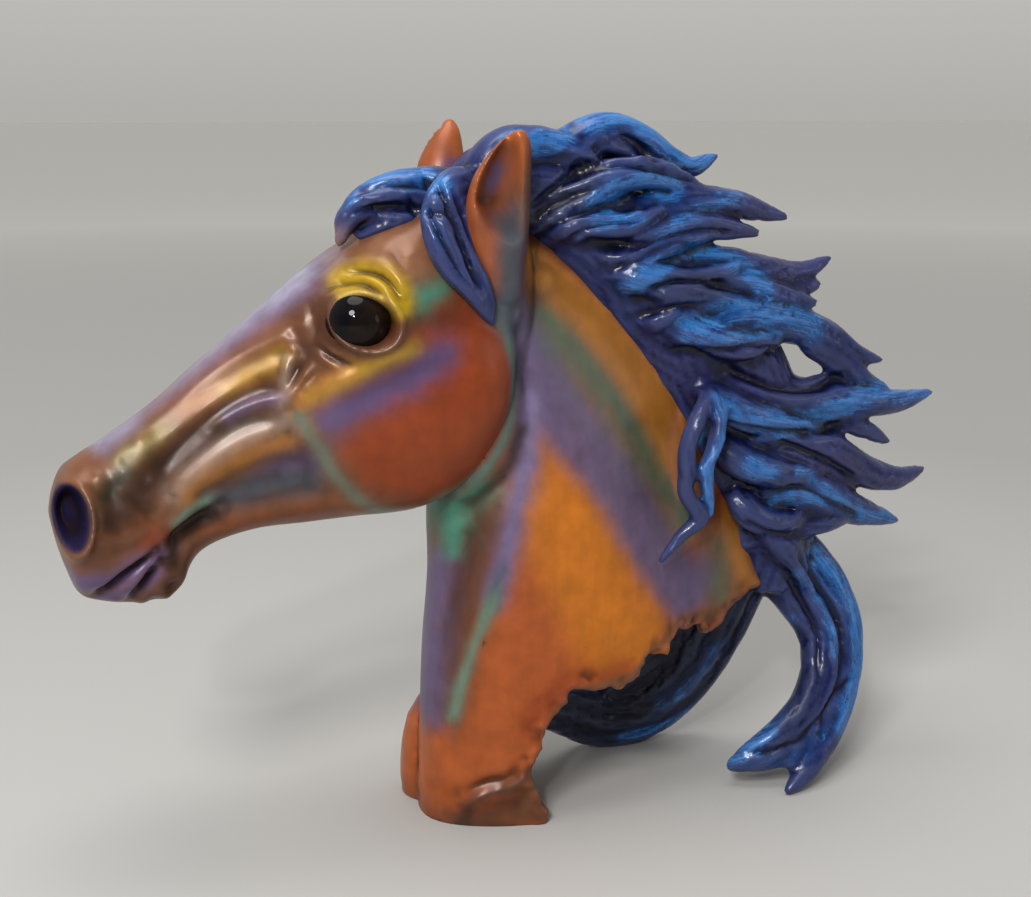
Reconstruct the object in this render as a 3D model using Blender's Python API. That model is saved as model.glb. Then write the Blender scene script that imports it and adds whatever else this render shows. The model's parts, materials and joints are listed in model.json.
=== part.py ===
"""A cast resin horse head with a flying mane, standing on its torn chest and two locks of its mane.

The horse looks along -X, its left side faces -Y and +Z is up. The origin is under the middle of
the sculpture's box, on the surface that it stands on. The form is drawn in hundredths of its
height, as a modeller scales a clay study, and the sizes that are set by themselves are in metres.
"""
import math

import bmesh
import bpy
import numpy as np
from mathutils import noise

# Driving sizes, in metres
HEIGHT = 0.192
EYE_DIAMETER = 0.0165
EAR_WALL = 0.0022
FOOT_SINK = 0.0012
CAST_DETAIL = 0.0011
FACET_BUDGET = 9000

# One hundredth of the height, the unit of everything that is drawn below
U = HEIGHT / 100

# Middle of the sculpture's box on the drawing, x and y, which is moved to the origin
MIDDLE = (3.02, -0.1)

# Horse's head: each rib runs from the nose line (x, z) down to the jaw line (x, z), and has its
# half widths a quarter, half and three quarters of the way round
HEAD_RIBS = (
    (-63.4, 50.2, -62.6, 45.8, 2.0, 3.2, 2.0),
    (-62.8, 52.8, -61.8, 43.0, 4.4, 6.6, 3.8),
    (-61.6, 55.4, -60.6, 39.8, 5.9, 8.6, 5.0),
    (-59.4, 57.2, -58.6, 38.4, 6.2, 9.0, 5.4),
    (-54.4, 60.2, -53.4, 37.4, 5.6, 7.8, 5.0),
    (-49.2, 63.8, -48.2, 38.6, 5.2, 7.0, 4.6),
    (-44.6, 67.7, -44.6, 43.4, 5.0, 7.0, 4.6),
    (-38.5, 72.6, -38.0, 45.6, 5.4, 7.6, 5.0),
    (-32.0, 77.8, -30.5, 46.0, 7.0, 9.4, 6.4),
    (-26.0, 82.0, -23.5, 46.4, 10.4, 11.2, 8.4),
    (-19.8, 85.8, -16.6, 46.8, 11.4, 12.2, 10.0),
    (-13.4, 88.8, -10.6, 49.4, 9.6, 12.2, 10.4),
    (-7.4, 90.4, -5.6, 55.0, 8.0, 11.4, 9.6),
    (-2.2, 89.4, -1.4, 62.0, 6.0, 9.0, 7.4),
    (1.0, 86.0, 1.2, 70.0, 3.0, 5.0, 4.0),
)

# Neck: each rib runs from the crest (x, z) to the throat (x, z), with its half widths as above
NECK_RIBS = (
    (-6.0, 87.5, -9.0, 60.0, 4.6, 8.0, 7.0),
    (3.5, 85.8, -12.4, 47.5, 4.8, 9.0, 7.2),
    (14.0, 78.6, -12.8, 36.0, 5.0, 10.0, 7.4),
    (22.6, 69.4, -13.8, 26.0, 5.2, 10.8, 7.6),
    (29.4, 58.4, -14.3, 16.0, 5.4, 11.2, 8.0),
    (35.0, 46.8, -14.6, 6.0, 5.4, 11.2, 8.4),
    (39.4, 35.0, -14.6, -3.0, 5.4, 11.0, 8.6),
    (42.0, 22.0, -13.0, -14.0, 5.4, 10.8, 8.6),
)

# How the ribs are skinned: spans between ribs, points round a rib, how square a rib is, and the
# shares of the way down between which the upper half width gives way to the middle one
RIB_STEPS = 5
RING_SIDES = 64
RING_SQUARE = 0.85
RIB_BLEND = (0.15, 0.5)

# Torn lower edge of the neck (x, z), from the back of the foot up to the crest
TORN_EDGE = (
    (0.6, -14.0),
    (0.9, -4.0),
    (0.6, 3.0),
    (-1.4, 8.0),
    (0.6, 12.6),
    (0.4, 15.4),
    (3.0, 18.4),
    (6.4, 21.2),
    (9.4, 19.8),
    (13.6, 20.0),
    (17.0, 23.8),
    (20.6, 23.6),
    (22.4, 27.0),
    (25.4, 26.6),
    (29.0, 24.9),
    (33.0, 28.0),
    (38.0, 29.5),
    (60.0, 31.0),
)

# Ragged break: height, pitch and slant of its waves, then height, pitch and reach of its grit
TORN_STEPS = 3
TORN_SLICES = 15
NECK_REACH = 16.0
TORN_WAVE = 2.0
WAVE_SLANT = 0.5
WAVE_PITCH = 0.31
TORN_GRIT = 1.1
GRIT_PITCH = 0.42
GRIT_REACH = 2.4

# Ear: height, centre x and y, half width and half thickness, from the root to the tip
EAR_RINGS = (
    (76.0, -5.0, 8.0, 3.6, 2.8),
    (80.0, -5.6, 8.7, 4.2, 3.2),
    (84.0, -6.0, 9.4, 4.7, 3.5),
    (88.0, -6.1, 10.1, 4.8, 3.4),
    (91.6, -5.8, 10.8, 4.4, 3.0),
    (94.6, -5.0, 11.5, 3.3, 2.3),
    (96.6, -4.3, 12.1, 2.0, 1.5),
    (97.8, -3.9, 12.5, 0.6, 0.6),
)
EAR_STEPS = 4
EAR_TURN = math.radians(24)

# How much higher and further forward the right ear stands, and how slim it is beside the left one
FAR_EAR_SHIFT = (1.2, -1.4)
FAR_EAR_SLIM = 0.76

# Hollow of the ear: the height it starts at, the height it opens over, how far its middle lies
# forward and out of the ear's own, and its least half size at the tip
EAR_HOLLOW_FROM = 83.0
EAR_HOLLOW_RUN = 6.0
EAR_HOLLOW_FORWARD = 0.9
EAR_HOLLOW_OUT = 1.3
EAR_HOLLOW_LEAST = 0.15

# Eye: centre of the ball on the near side, then the ring of the lids and the rise of the socket,
# measured from the middle of the eye in side view as shares of the ball's radius
EYE_PLACE = (-25.0, 9.7, 73.9)
LID_REACH = 1.06
LID_WIDTH = 0.22
LID_RISE = 0.8
SOCKET_REACH = 1.7
SOCKET_RISE = 0.5
BALL_SIDES = 32
BALL_RINGS = 24

# Carving on the head and neck: what it is, its line in side view (x, z), half width and height
CARVING = (
    ("brow", ((-29.0, 78.4), (-27.0, 80.9), (-23.8, 81.6), (-20.6, 80.2), (-18.9, 77.0)), 1.3, 1.0),
    ("brow fold", ((-27.8, 78.6), (-24.8, 79.6), (-21.6, 78.6), (-20.0, 75.8)), 0.5, -0.6),
    ("under eye", ((-29.6, 70.4), (-26.0, 68.6), (-21.8, 69.6)), 0.9, -0.4),
    ("tear bone", ((-31.2, 77.2), (-31.4, 75.0), (-30.2, 72.2)), 0.9, 0.6),
    ("hollow before eye", ((-33.6, 74.4), (-34.6, 71.6)), 1.5, -0.6),
    ("nasal bone", ((-30.4, 75.6), (-37.0, 70.8), (-43.4, 66.4), (-48.4, 62.4)), 1.3, 0.5),
    ("nose side", ((-33.0, 72.0), (-39.0, 67.6), (-46.0, 62.4), (-51.6, 58.4)), 1.3, -0.5),
    ("nose muscle", ((-34.0, 69.0), (-40.0, 65.4), (-46.4, 61.0), (-52.4, 57.2)), 1.2, 0.5),
    ("nose fold", ((-34.6, 66.4), (-40.2, 63.4), (-45.0, 60.4), (-49.6, 56.4)), 0.9, -0.6),
    ("face crest", ((-16.4, 70.6), (-22.0, 68.4), (-28.0, 65.6), (-33.4, 62.6)), 1.4, 0.8),
    ("cheek muscle", ((-33.4, 60.4), (-38.0, 58.8), (-43.4, 56.2), (-49.0, 54.0)), 2.2, 0.9),
    ("cheek hollow", ((-34.0, 55.0), (-38.4, 53.6), (-43.6, 51.6)), 1.8, -0.8),
    ("jaw bar", ((-42.0, 47.4), (-35.4, 48.6), (-28.0, 49.6), (-22.4, 48.4)), 1.5, 0.6),
    ("mouth corner", ((-42.4, 50.2), (-45.8, 48.2), (-49.6, 46.0)), 0.9, -1.0),
    ("mouth", ((-60.6, 39.8), (-56.8, 39.9), (-53.8, 41.0), (-50.2, 43.8)), 0.6, -1.1),
    ("upper lip", ((-60.6, 42.4), (-56.6, 42.6), (-53.0, 44.0), (-50.0, 46.6)), 1.4, 0.6),
    ("nostril back", ((-57.0, 55.4), (-55.8, 52.0), (-56.8, 48.0)), 1.4, -0.7),
    ("throat crease", ((-12.0, 47.6), (-7.2, 50.6), (-3.6, 56.6), (-2.4, 64.0), (-3.4, 74.0)), 1.2, -1.0),
    ("jugular", ((-9.4, 47.0), (-9.8, 40.0), (-11.2, 31.0), (-12.2, 21.0), (-13.0, 9.0)), 1.5, -0.9),
    ("neck cord", ((-3.6, 46.0), (-5.8, 36.0), (-8.0, 26.0), (-10.0, 14.0)), 2.0, 0.8),
    ("crest groove", ((2.0, 78.0), (12.0, 69.0), (20.0, 58.0), (27.0, 44.0)), 2.4, -0.6),
)
CARVE_STEPS = 4

# Carving fades out where the skin turns from facing sideways, between these shares of a right angle
CARVE_FACING = (0.15, 0.7)

# Raised disc of the cheek: centre (x, z), half length and half height, then its rise and edge
CHEEK_DISC = (-17.6, 60.4, 13.6, 12.4)
CHEEK_RISE = 1.1
CHEEK_EDGE = 0.16

# Nostril: centre (x, z), half length and half height, its depth, the share of it that is floor,
# the rise, place and width of its rim, and how far off the middle of the nose it starts and is full
NOSTRIL = (-60.9, 50.9, 2.3, 4.2)
NOSTRIL_DEPTH = 3.6
NOSTRIL_FLOOR = 0.5
NOSTRIL_RIM = (1.0, 1.15, 0.3)
NOSTRIL_SIDE = (1.5, 4.0)

# Lobe on the horse's right that the chest ends in: centre, then half sizes
CHEST_LOBE = ((-9.8, 6.4, 4.0), (6.0, 5.4, 13.0))

# Mass of the mane behind the crest: spine (x, y, z), half width across it and half thickness
MANE_BODY = (
    (-6.4, 0.0, 88.6, 4.0, 5.6),
    (2.4, 0.0, 88.4, 5.8, 6.8),
    (11.4, 0.0, 83.6, 8.2, 7.2),
    (20.6, 0.0, 75.4, 9.8, 7.2),
    (28.6, 0.0, 66.0, 10.6, 7.0),
    (34.6, 0.0, 55.6, 10.8, 6.6),
    (39.2, 0.0, 45.0, 9.0, 6.2),
    (41.4, 0.0, 36.0, 6.6, 5.6),
    (42.4, 0.0, 29.0, 4.4, 4.4),
)
BODY_SQUARE = 0.7

# Locks of hair: half width, half thickness and the spine (x, y, z) from the root to the tip
LOCKS = {
    "crown": (3.0, 3.4, (
        (-6.4, -2, 88), (-5.2, -3, 93), (-1.6, -3, 95.6), (4, -3, 95.4), (9, -4, 93.4), (13, -4, 90),
    )),
    "top": (3.4, 3.2, (
        (2.5, -1, 88), (6.2, -2, 94), (11.6, -2, 96.9), (17, -2, 96), (21.4, -2, 93.4), (25.4, -2, 92.4),
        (29.6, -2, 94.2),
    )),
    "top_near": (2.8, 2.6, (
        (4, -5, 86), (9.6, -6, 90.4), (15.6, -6, 92), (21.4, -5, 91), (27, -4, 89),
    )),
    "second": (3.2, 3.0, (
        (9, -3, 81), (15, -4, 85.4), (23, -4, 87.3), (31, -3, 87.2), (37.4, -2, 85.8), (41, -2, 85),
    )),
    "second_near": (2.6, 2.6, (
        (11, -6, 79), (17, -7, 82.8), (25, -6, 84.2), (31, -5, 83.8), (35.4, -4, 83),
    )),
    "third": (3.4, 3.0, (
        (15, -3, 75), (21.5, -4, 78.6), (29.4, -4, 78.6), (37.2, -3, 77.3), (43.6, -2, 77), (48.8, -2, 79.1),
    )),
    "third_near": (3.0, 2.6, (
        (17, -7, 71), (23.2, -7, 75.4), (31.6, -6, 75.2), (39.4, -5, 73.8), (45.4, -4, 72.6),
    )),
    "third_web": (2.4, 2.0, (
        (34, -4, 74), (39, -3.4, 74.6), (43, -2.8, 74.8), (46.8, -2.4, 75.2),
    )),
    "fourth": (3.4, 2.8, (
        (22, -5, 67.6), (28.5, -6, 71.6), (37.2, -5, 70.8), (46.6, -3, 68.2), (53.6, -2, 64.4), (59.2, -1, 63),
    )),
    "fourth_web": (2.6, 2.0, (
        (42, -4, 69), (47.4, -3.2, 65.6), (51.6, -2.6, 62.8), (56, -2, 60), (60, -1.6, 58.6),
    )),
    "fifth": (3.4, 2.8, (
        (26, -4, 59), (34.4, -5, 59.2), (43.2, -4, 57.8), (52.4, -3, 57.4), (61, -2, 56.6), (69.8, 0, 57.2),
    )),
    "hook": (2.0, 2.0, (
        (43, -4, 57), (50.8, -3, 54.6), (55.8, -3, 52.6), (60.4, -2, 50.2),
    )),
    "sixth": (3.8, 2.8, (
        (29, -4, 52.6), (37.8, -5, 53.6), (46.4, -5, 51), (54.8, -3, 46.6), (62, -2, 44.4), (68.9, 0, 45),
    )),
    "seventh": (3.6, 2.8, (
        (32, -3, 45), (39.8, -5, 46.4), (46.8, -5, 44), (54.6, -3, 40.2), (63.8, -1, 37),
    )),
    "lowest": (3.0, 2.4, (
        (34, -3, 37), (40.8, -4, 39), (47, -5, 39.8), (53.4, -4, 39.4),
    )),
    "near_poll": (2.4, 2.2, (
        (2, -5, 86), (7, -7.4, 84.8), (13, -8, 85), (19, -7.2, 87),
    )),
    "near_high": (2.6, 2.2, (
        (11, -6.4, 79.4), (17, -8.2, 77.4), (24, -8.2, 77), (31, -6.8, 79),
    )),
    "near_mid": (2.6, 2.2, (
        (19, -6, 72), (25, -8.2, 69.4), (31, -8, 67.6), (38, -6.4, 67.6),
    )),
    "near_low": (2.6, 2.2, (
        (25, -6, 62), (31, -8, 58), (38, -7.6, 55.6), (46, -5.6, 54),
    )),
    "near_lower": (2.6, 2.2, (
        (28, -6, 53.6), (33, -7.6, 50), (40, -7.2, 48.2), (48, -5.4, 48),
    )),
    "near_base": (2.4, 2.2, (
        (31, -6, 45.6), (34.6, -7.2, 42), (39.4, -6.6, 40.6), (46, -5, 42),
    )),
    "near_fall": (2.6, 2.2, (
        (36, -5, 44), (39.4, -5.8, 38), (43.4, -5, 33), (47, -4.4, 28),
    )),
    "far_fourth": (3.2, 2.8, (
        (20, 5, 64), (28, 6, 68), (37, 5, 69), (46, 4, 67.4), (54, 2, 64),
    )),
    "forelock": (3.5, 3.4, (
        (-5, -1, 88), (-10.6, -2, 89.6), (-16, -3, 89.9), (-20.8, -3.2, 88.9), (-24, -3.2, 86.6),
        (-25.4, -3, 83),
    )),
    "forelock_under": (2.9, 3.4, (
        (-7, -2, 85), (-13.4, -3, 86.6), (-18.6, -3.4, 86.2), (-23, -3.2, 84),
    )),
    "temple_lock": (3.2, 2.4, (
        (-6.6, -4, 91), (-11.6, -8, 90.4), (-14.4, -10.6, 86.6), (-13.4, -11.8, 81.8), (-10.4, -12.4, 77.6),
        (-7.2, -12, 73.2),
    )),
    "temple_strand": (1.9, 1.8, (
        (-8.4, -6, 90), (-11, -9.4, 87), (-11, -11.2, 82.6), (-9, -11.8, 78.6), (-7, -11.6, 75),
    )),
    "curl": (1.9, 1.8, (
        (25.4, -8.4, 60), (27.4, -10.2, 56), (24.8, -11, 51.4), (25.2, -11, 47), (24, -11, 43),
        (20.7, -11, 40.2), (17.6, -11, 37.8),
    )),
}

# Locks that the right side repeats: mirrored about this y, drawn in towards the root and lower
FAR_LOCKS = ("crown", "top", "second", "third", "fifth", "sixth", "forelock")
FAR_MIRROR = 1.1
FAR_REACH = 0.88
FAR_DROP = 1.6

# Locks that carry the sculpture: half width, half thickness, turn of the flat about the run in
# degrees, and the spine
STAND_LOCKS = {
    "stand_lock": (4.7, 3.0, 15, (
        (39, 0, 42), (42.6, -1, 33), (46.4, -2, 27.4), (49.4, -4, 22.4), (49.2, -6, 16.8), (46.4, -8, 12),
        (41.8, -9.6, 8.6), (36.4, -9.8, 6), (30.6, -8.4, 3.6),
    )),
    "stand_edge": (2.6, 2.7, 15, (
        (42, 0, 41), (46.8, -0.6, 35), (51, -2, 29.2), (53, -4, 22.6), (52, -6.2, 15.4), (48.4, -9, 9.2),
        (42.8, -12.4, 4), (37.4, -14.5, 1),
    )),
    "dark_inner": (3.3, 2.5, 0, (
        (35, 1, 40), (35, 1.6, 34), (33.4, 3.6, 27), (30.4, 6.4, 20.6), (26.6, 9.2, 15.4), (22, 10.6, 11.8),
        (17, 10.8, 9.6),
    )),
    "dark_lock": (5.2, 2.9, 0, (
        (37.6, 0, 42), (38.2, 1, 34), (36.6, 2.4, 27.2), (34.6, 4.4, 20.4), (32.4, 7, 14), (29.2, 9.4, 8.8),
        (24.6, 11.1, 5.5), (18.2, 11.2, 5.6), (11.5, 9, 9), (5.4, 5.6, 12), (-1, 2, 15),
    )),
}

# How a lock is shaped: its flutes, its taper to the tip, and its slimmer start at the root
LOCK_STEPS = 7
LOCK_SIDES = 18
FLUTES = 3
FLUTE_DEPTH = 0.17
LOCK_TIP = 0.35
LOCK_TAPER = 2.4
STAND_TIP = 0.6
STAND_TAPER = 6.0
TAPER_ROUND = 0.8
ROOT_SHARE = 0.5
ROOT_RUN = 0.2

# Finish: a bronze-brown paint on the cast, and the angle from which an edge reads as sharp
PAINT_COLOUR = (0.36, 0.15, 0.06)
PAINT_ROUGHNESS = 0.35
PAINT_METALLIC = 0.6
SHARP_ANGLE = math.radians(60)


def clear_scene():
    for obj in list(bpy.data.objects):
        bpy.data.objects.remove(obj, do_unlink=True)


def smooth_step(value, start, end):
    t = np.clip((value - start) / (end - start), 0, 1)
    return t * t * (3 - 2 * t)


def through(points, steps):
    """Points on a Catmull-Rom curve through the given ones, a number of steps to each span."""
    rows = np.array(points, dtype=float)
    before = 2 * rows[0] - rows[1]
    after = 2 * rows[-1] - rows[-2]
    rows = np.vstack([before, rows, after])
    made = []
    for i in range(1, len(rows) - 2):
        p0, p1, p2, p3 = rows[i - 1 : i + 3]
        for k in range(steps):
            t = k / steps
            bend = (2 * p0 - 5 * p1 + 4 * p2 - p3) * t**2 + (3 * p1 - p0 - 3 * p2 + p3) * t**3
            made.append(0.5 * (2 * p1 + (p2 - p0) * t + bend))
    made.append(rows[-2])
    return np.array(made)


def linked(name, mesh):
    """An object in the scene with the given working mesh, its faces turned outward."""
    bmesh.ops.triangulate(mesh, faces=mesh.faces)
    bmesh.ops.recalc_face_normals(mesh, faces=mesh.faces)
    data = bpy.data.meshes.new(name)
    mesh.to_mesh(data)
    mesh.free()
    obj = bpy.data.objects.new(name, data)
    bpy.context.scene.collection.objects.link(obj)
    return obj


def guide(obj):
    obj.hide_render = True
    obj.display_type = "WIRE"
    return obj


def loft(name, rings):
    """A closed solid skinned over rings of points, its two ends closed by the rings themselves."""
    mesh = bmesh.new()
    sides = len(rings[0])
    skin = [[mesh.verts.new(p) for p in ring] for ring in rings]
    for low, high in zip(skin, skin[1:]):
        for i in range(sides):
            j = (i + 1) % sides
            mesh.faces.new((low[i], low[j], high[j], high[i]))
    mesh.faces.new(skin[0])
    mesh.faces.new(skin[-1])
    return guide(linked(name, mesh))


def ball(name, centre, halves):
    """An oval ball with the given centre and half sizes."""
    mesh = bmesh.new()
    bmesh.ops.create_uvsphere(mesh, u_segments=BALL_SIDES, v_segments=BALL_RINGS, radius=1.0)
    for v in mesh.verts:
        v.co = [(c + h * p) * U for c, h, p in zip(centre, halves, v.co)]
    return guide(linked(name, mesh))


def rib_ring(row):
    """A closed ring round one rib: its half width goes from the upper to the lower of the three."""
    top_x, top_z, low_x, low_z, upper, middle, lower = row
    quarter = math.sin(math.pi / 4) ** RING_SQUARE
    start, end = RIB_BLEND
    ring = []
    for i in range(RING_SIDES):
        angle = 2 * math.pi * i / RING_SIDES
        down = 0.5 * (1 - math.cos(angle))
        across = math.sin(angle)
        width = middle
        width += (upper / quarter - middle) * (1 - smooth_step(down, start, end))
        width += (lower / quarter - middle) * smooth_step(down, 1 - end, 1 - start)
        side = math.copysign(abs(across) ** RING_SQUARE, across) * width
        x = top_x + (low_x - top_x) * down
        z = top_z + (low_z - top_z) * down
        ring.append((x * U, side * U, z * U))
    return ring


def ribbed_body(name, ribs):
    return loft(name, [rib_ring(row) for row in through(ribs, RIB_STEPS)])


def lock_rings(half_width, half_thickness, turn, points, tip, taper_power):
    """Rings of a tapered lock, wide in the plane of the mane, with flutes along its flat sides."""
    path = through(points, LOCK_STEPS)
    steps = np.gradient(path, axis=0)
    lengths = np.concatenate([[0], np.cumsum(np.linalg.norm(np.diff(path, axis=0), axis=1))])
    along = lengths / lengths[-1]
    rings = []
    for place, step, t in zip(path, steps, along):
        run = step / np.linalg.norm(step)
        flat = np.cross(run, (0, 1, 0))
        flat /= np.linalg.norm(flat)
        deep = np.cross(run, flat)
        angle = math.radians(turn) * t
        wide = flat * math.cos(angle) + deep * math.sin(angle)
        thick = deep * math.cos(angle) - flat * math.sin(angle)
        taper = (1 - t**taper_power) ** TAPER_ROUND
        taper *= ROOT_SHARE + (1 - ROOT_SHARE) * smooth_step(t, 0, ROOT_RUN)
        half_w = tip + (half_width - tip) * taper
        half_t = tip + (half_thickness - tip) * taper
        ring = []
        for i in range(LOCK_SIDES):
            a = 2 * math.pi * i / LOCK_SIDES
            across = math.cos(a)
            fluted = math.sin(a) * (1 + FLUTE_DEPTH * math.cos(FLUTES * math.pi * across))
            ring.append(tuple((place + wide * across * half_w + thick * fluted * half_t) * U))
        rings.append(ring)
    return rings


def hair_lock(name, half_width, half_thickness, points):
    return loft(name, lock_rings(half_width, half_thickness, 0, points, LOCK_TIP, LOCK_TAPER))


def far_lock(name, half_width, half_thickness, points):
    """The right side's counterpart of a lock on the left."""
    spine = np.array(points, dtype=float)
    spine[:, 1] = 2 * FAR_MIRROR - spine[:, 1]
    spine = spine[0] + (spine - spine[0]) * FAR_REACH
    spine[:, 2] -= FAR_DROP
    return hair_lock("far_" + name, half_width, half_thickness, spine)


def stand_lock(name, half_width, half_thickness, turn, points):
    return loft(name, lock_rings(half_width, half_thickness, turn, points, STAND_TIP, STAND_TAPER))


def mane_body():
    """The mass of hair along the crest that the locks grow out of."""
    rows = through(MANE_BODY, LOCK_STEPS)
    steps = np.gradient(rows[:, :3], axis=0)
    sides = LOCK_SIDES * 2
    rings = []
    for row, step in zip(rows, steps):
        run = step / np.linalg.norm(step)
        wide = np.cross(run, (0, 1, 0))
        ring = []
        for i in range(sides):
            a = 2 * math.pi * i / sides
            across = math.copysign(abs(math.cos(a)) ** BODY_SQUARE, math.cos(a)) * row[3]
            offset = wide * across + np.array((0, 1, 0)) * math.sin(a) * row[4]
            ring.append(tuple((row[:3] + offset) * U))
        rings.append(ring)
    return loft("mane_body", rings)


def ear_ring(side, z, x, y, half_width, half_thick):
    """One level of an ear: an oval turned to face forward and out."""
    turn = EAR_TURN * side
    ring = []
    for i in range(LOCK_SIDES):
        a = 2 * math.pi * i / LOCK_SIDES
        u = math.cos(a) * half_width
        v = math.sin(a) * half_thick
        across = x + u * math.cos(turn) + v * math.sin(turn)
        out = y * side - u * math.sin(turn) + v * math.cos(turn)
        ring.append((across * U, out * U, z * U))
    return ring


def ear(name, side):
    """An ear with a wall round the hollow that opens forward and out."""
    rows = through(EAR_RINGS, EAR_STEPS)
    if side > 0:
        rows[:, :2] += FAR_EAR_SHIFT
        rows[:, 3:] *= FAR_EAR_SLIM
    body = loft(name, [ear_ring(side, *row) for row in rows])
    wall = EAR_WALL / U
    hollow_rings = []
    for z, x, y, half_width, half_thick in rows:
        opening = (z - EAR_HOLLOW_FROM) / EAR_HOLLOW_RUN
        if opening < 0:
            continue
        opening = min(1.0, opening)
        middle_x = x - EAR_HOLLOW_FORWARD * opening
        middle_y = y + EAR_HOLLOW_OUT * half_thick - wall / 2
        inner = max(EAR_HOLLOW_LEAST, half_width - wall)
        deep = max(EAR_HOLLOW_LEAST, half_thick * opening)
        hollow_rings.append(ear_ring(side, z, middle_x, middle_y, inner, deep))
    cut_away(body, loft(name + "_hollow", hollow_rings))
    return body


def eyeball(name, side):
    x, y, z = EYE_PLACE
    radius = EYE_DIAMETER / 2 / U
    return ball(name, (x, y * side, z), (radius, radius, radius))


def torn_cutter():
    """A block under the neck whose upper face is the ragged break, different at each depth."""
    edge = through(TORN_EDGE, TORN_STEPS)
    rings = []
    for k in range(TORN_SLICES):
        y = NECK_REACH * (2 * k / (TORN_SLICES - 1) - 1)
        ring = []
        for x, z in edge:
            wave = TORN_WAVE * noise.noise(np.array((x, y, z)) * WAVE_PITCH)
            ring.append(((x + WAVE_SLANT * wave) * U, y * U, (z + wave) * U))
        ring.append((edge[-1][0] * U, y * U, edge[0][1] * U))
        rings.append(ring)
    return loft("torn_cutter", rings)


def cut_away(obj, cutter):
    cut = obj.modifiers.new("Cut away", "BOOLEAN")
    cut.operation = "DIFFERENCE"
    cut.object = cutter


def baked(obj):
    """The object's mesh as its modifiers leave it."""
    graph = bpy.context.evaluated_depsgraph_get()
    return bpy.data.meshes.new_from_object(obj.evaluated_get(graph))


def cast_together(name, parts):
    """All parts fused into one skin, as the caster's mould does, at the grain of the cast."""
    joined = bmesh.new()
    for part in parts:
        data = baked(part)
        joined.from_mesh(data)
        bpy.data.meshes.remove(data)
    data = bpy.data.meshes.new(name)
    joined.to_mesh(data)
    joined.free()
    whole = bpy.data.objects.new(name, data)
    bpy.context.scene.collection.objects.link(whole)
    skin = whole.modifiers.new("Cast skin", "REMESH")
    skin.mode = "VOXEL"
    skin.voxel_size = CAST_DETAIL
    whole.data = baked(whole)
    whole.modifiers.clear()
    bpy.data.meshes.remove(data)
    return whole


def line_distance(points, line):
    """Each point's distance in side view from a line of points."""
    least = np.full(len(points), np.inf)
    for a, b in zip(line[:-1], line[1:]):
        run = b - a
        share = np.clip(((points - a) @ run) / (run @ run), 0, 1)
        gap = np.linalg.norm(points - (a + share[:, None] * run), axis=1)
        least = np.minimum(least, gap)
    return least


def oval_reach(points, oval):
    """Each point's distance from the middle of an oval, as a share of the oval's own size."""
    x, z, half_x, half_z = oval
    return np.hypot((points[:, 0] - x) / half_x, (points[:, 1] - z) / half_z)


def skin_rise(side):
    """How far the skin is raised or sunk at places in side view: named lines, cheek and eye socket."""
    rise = np.zeros(len(side))
    for _, line, half_width, height in CARVING:
        gap = line_distance(side, through(line, CARVE_STEPS))
        rise += height * np.exp(-((gap / half_width) ** 2))
    cheek = oval_reach(side, CHEEK_DISC)
    rise += CHEEK_RISE * (1 - smooth_step(cheek, 1 - CHEEK_EDGE, 1 + CHEEK_EDGE))
    radius = EYE_DIAMETER / 2 / U
    eye = oval_reach(side, (EYE_PLACE[0], EYE_PLACE[2], radius, radius))
    rise += SOCKET_RISE * (1 - smooth_step(eye, 1.0, SOCKET_REACH))
    rise += LID_RISE * np.exp(-(((eye - LID_REACH) / LID_WIDTH) ** 2))
    return rise


def nostril_flare(side, off_middle):
    """How far the skin moves outward at the nostril: up at its rim, down inside it."""
    reach = oval_reach(side, NOSTRIL)
    rim_rise, rim_place, rim_width = NOSTRIL_RIM
    flare = rim_rise * np.exp(-(((reach - rim_place) / rim_width) ** 2))
    flare -= NOSTRIL_DEPTH * (1 - smooth_step(reach, NOSTRIL_FLOOR, 1.0))
    return flare * np.sign(off_middle) * smooth_step(np.abs(off_middle), *NOSTRIL_SIDE)


def torn_grit(places):
    """Small lumps of the broken casting, near the torn edge only."""
    gap = line_distance(places[:, [0, 2]], through(TORN_EDGE, TORN_STEPS))
    grit = np.zeros(len(places))
    for i in np.flatnonzero(gap < 2 * GRIT_REACH):
        grit[i] = noise.noise(places[i] * GRIT_PITCH)
    return TORN_GRIT * grit * np.exp(-((gap / GRIT_REACH) ** 2))


def carve(obj):
    """Works the skin of both sides along its normals, then opens the nostrils sideways."""
    data = obj.data
    count = len(data.vertices)
    places = np.empty(count * 3, dtype=np.float32)
    normals = np.empty(count * 3, dtype=np.float32)
    data.vertices.foreach_get("co", places)
    data.vertex_normals.foreach_get("vector", normals)
    places = places.reshape(-1, 3).astype(float) / U
    normals = normals.reshape(-1, 3).astype(float)
    side = places[:, [0, 2]]
    facing = smooth_step(np.abs(normals[:, 1]), *CARVE_FACING)
    rise = skin_rise(side) * facing + torn_grit(places)
    places += normals * rise[:, None]
    places[:, 1] += nostril_flare(side, places[:, 1])
    data.vertices.foreach_set("co", (places * U).astype(np.float32).ravel())
    data.update()


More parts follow.
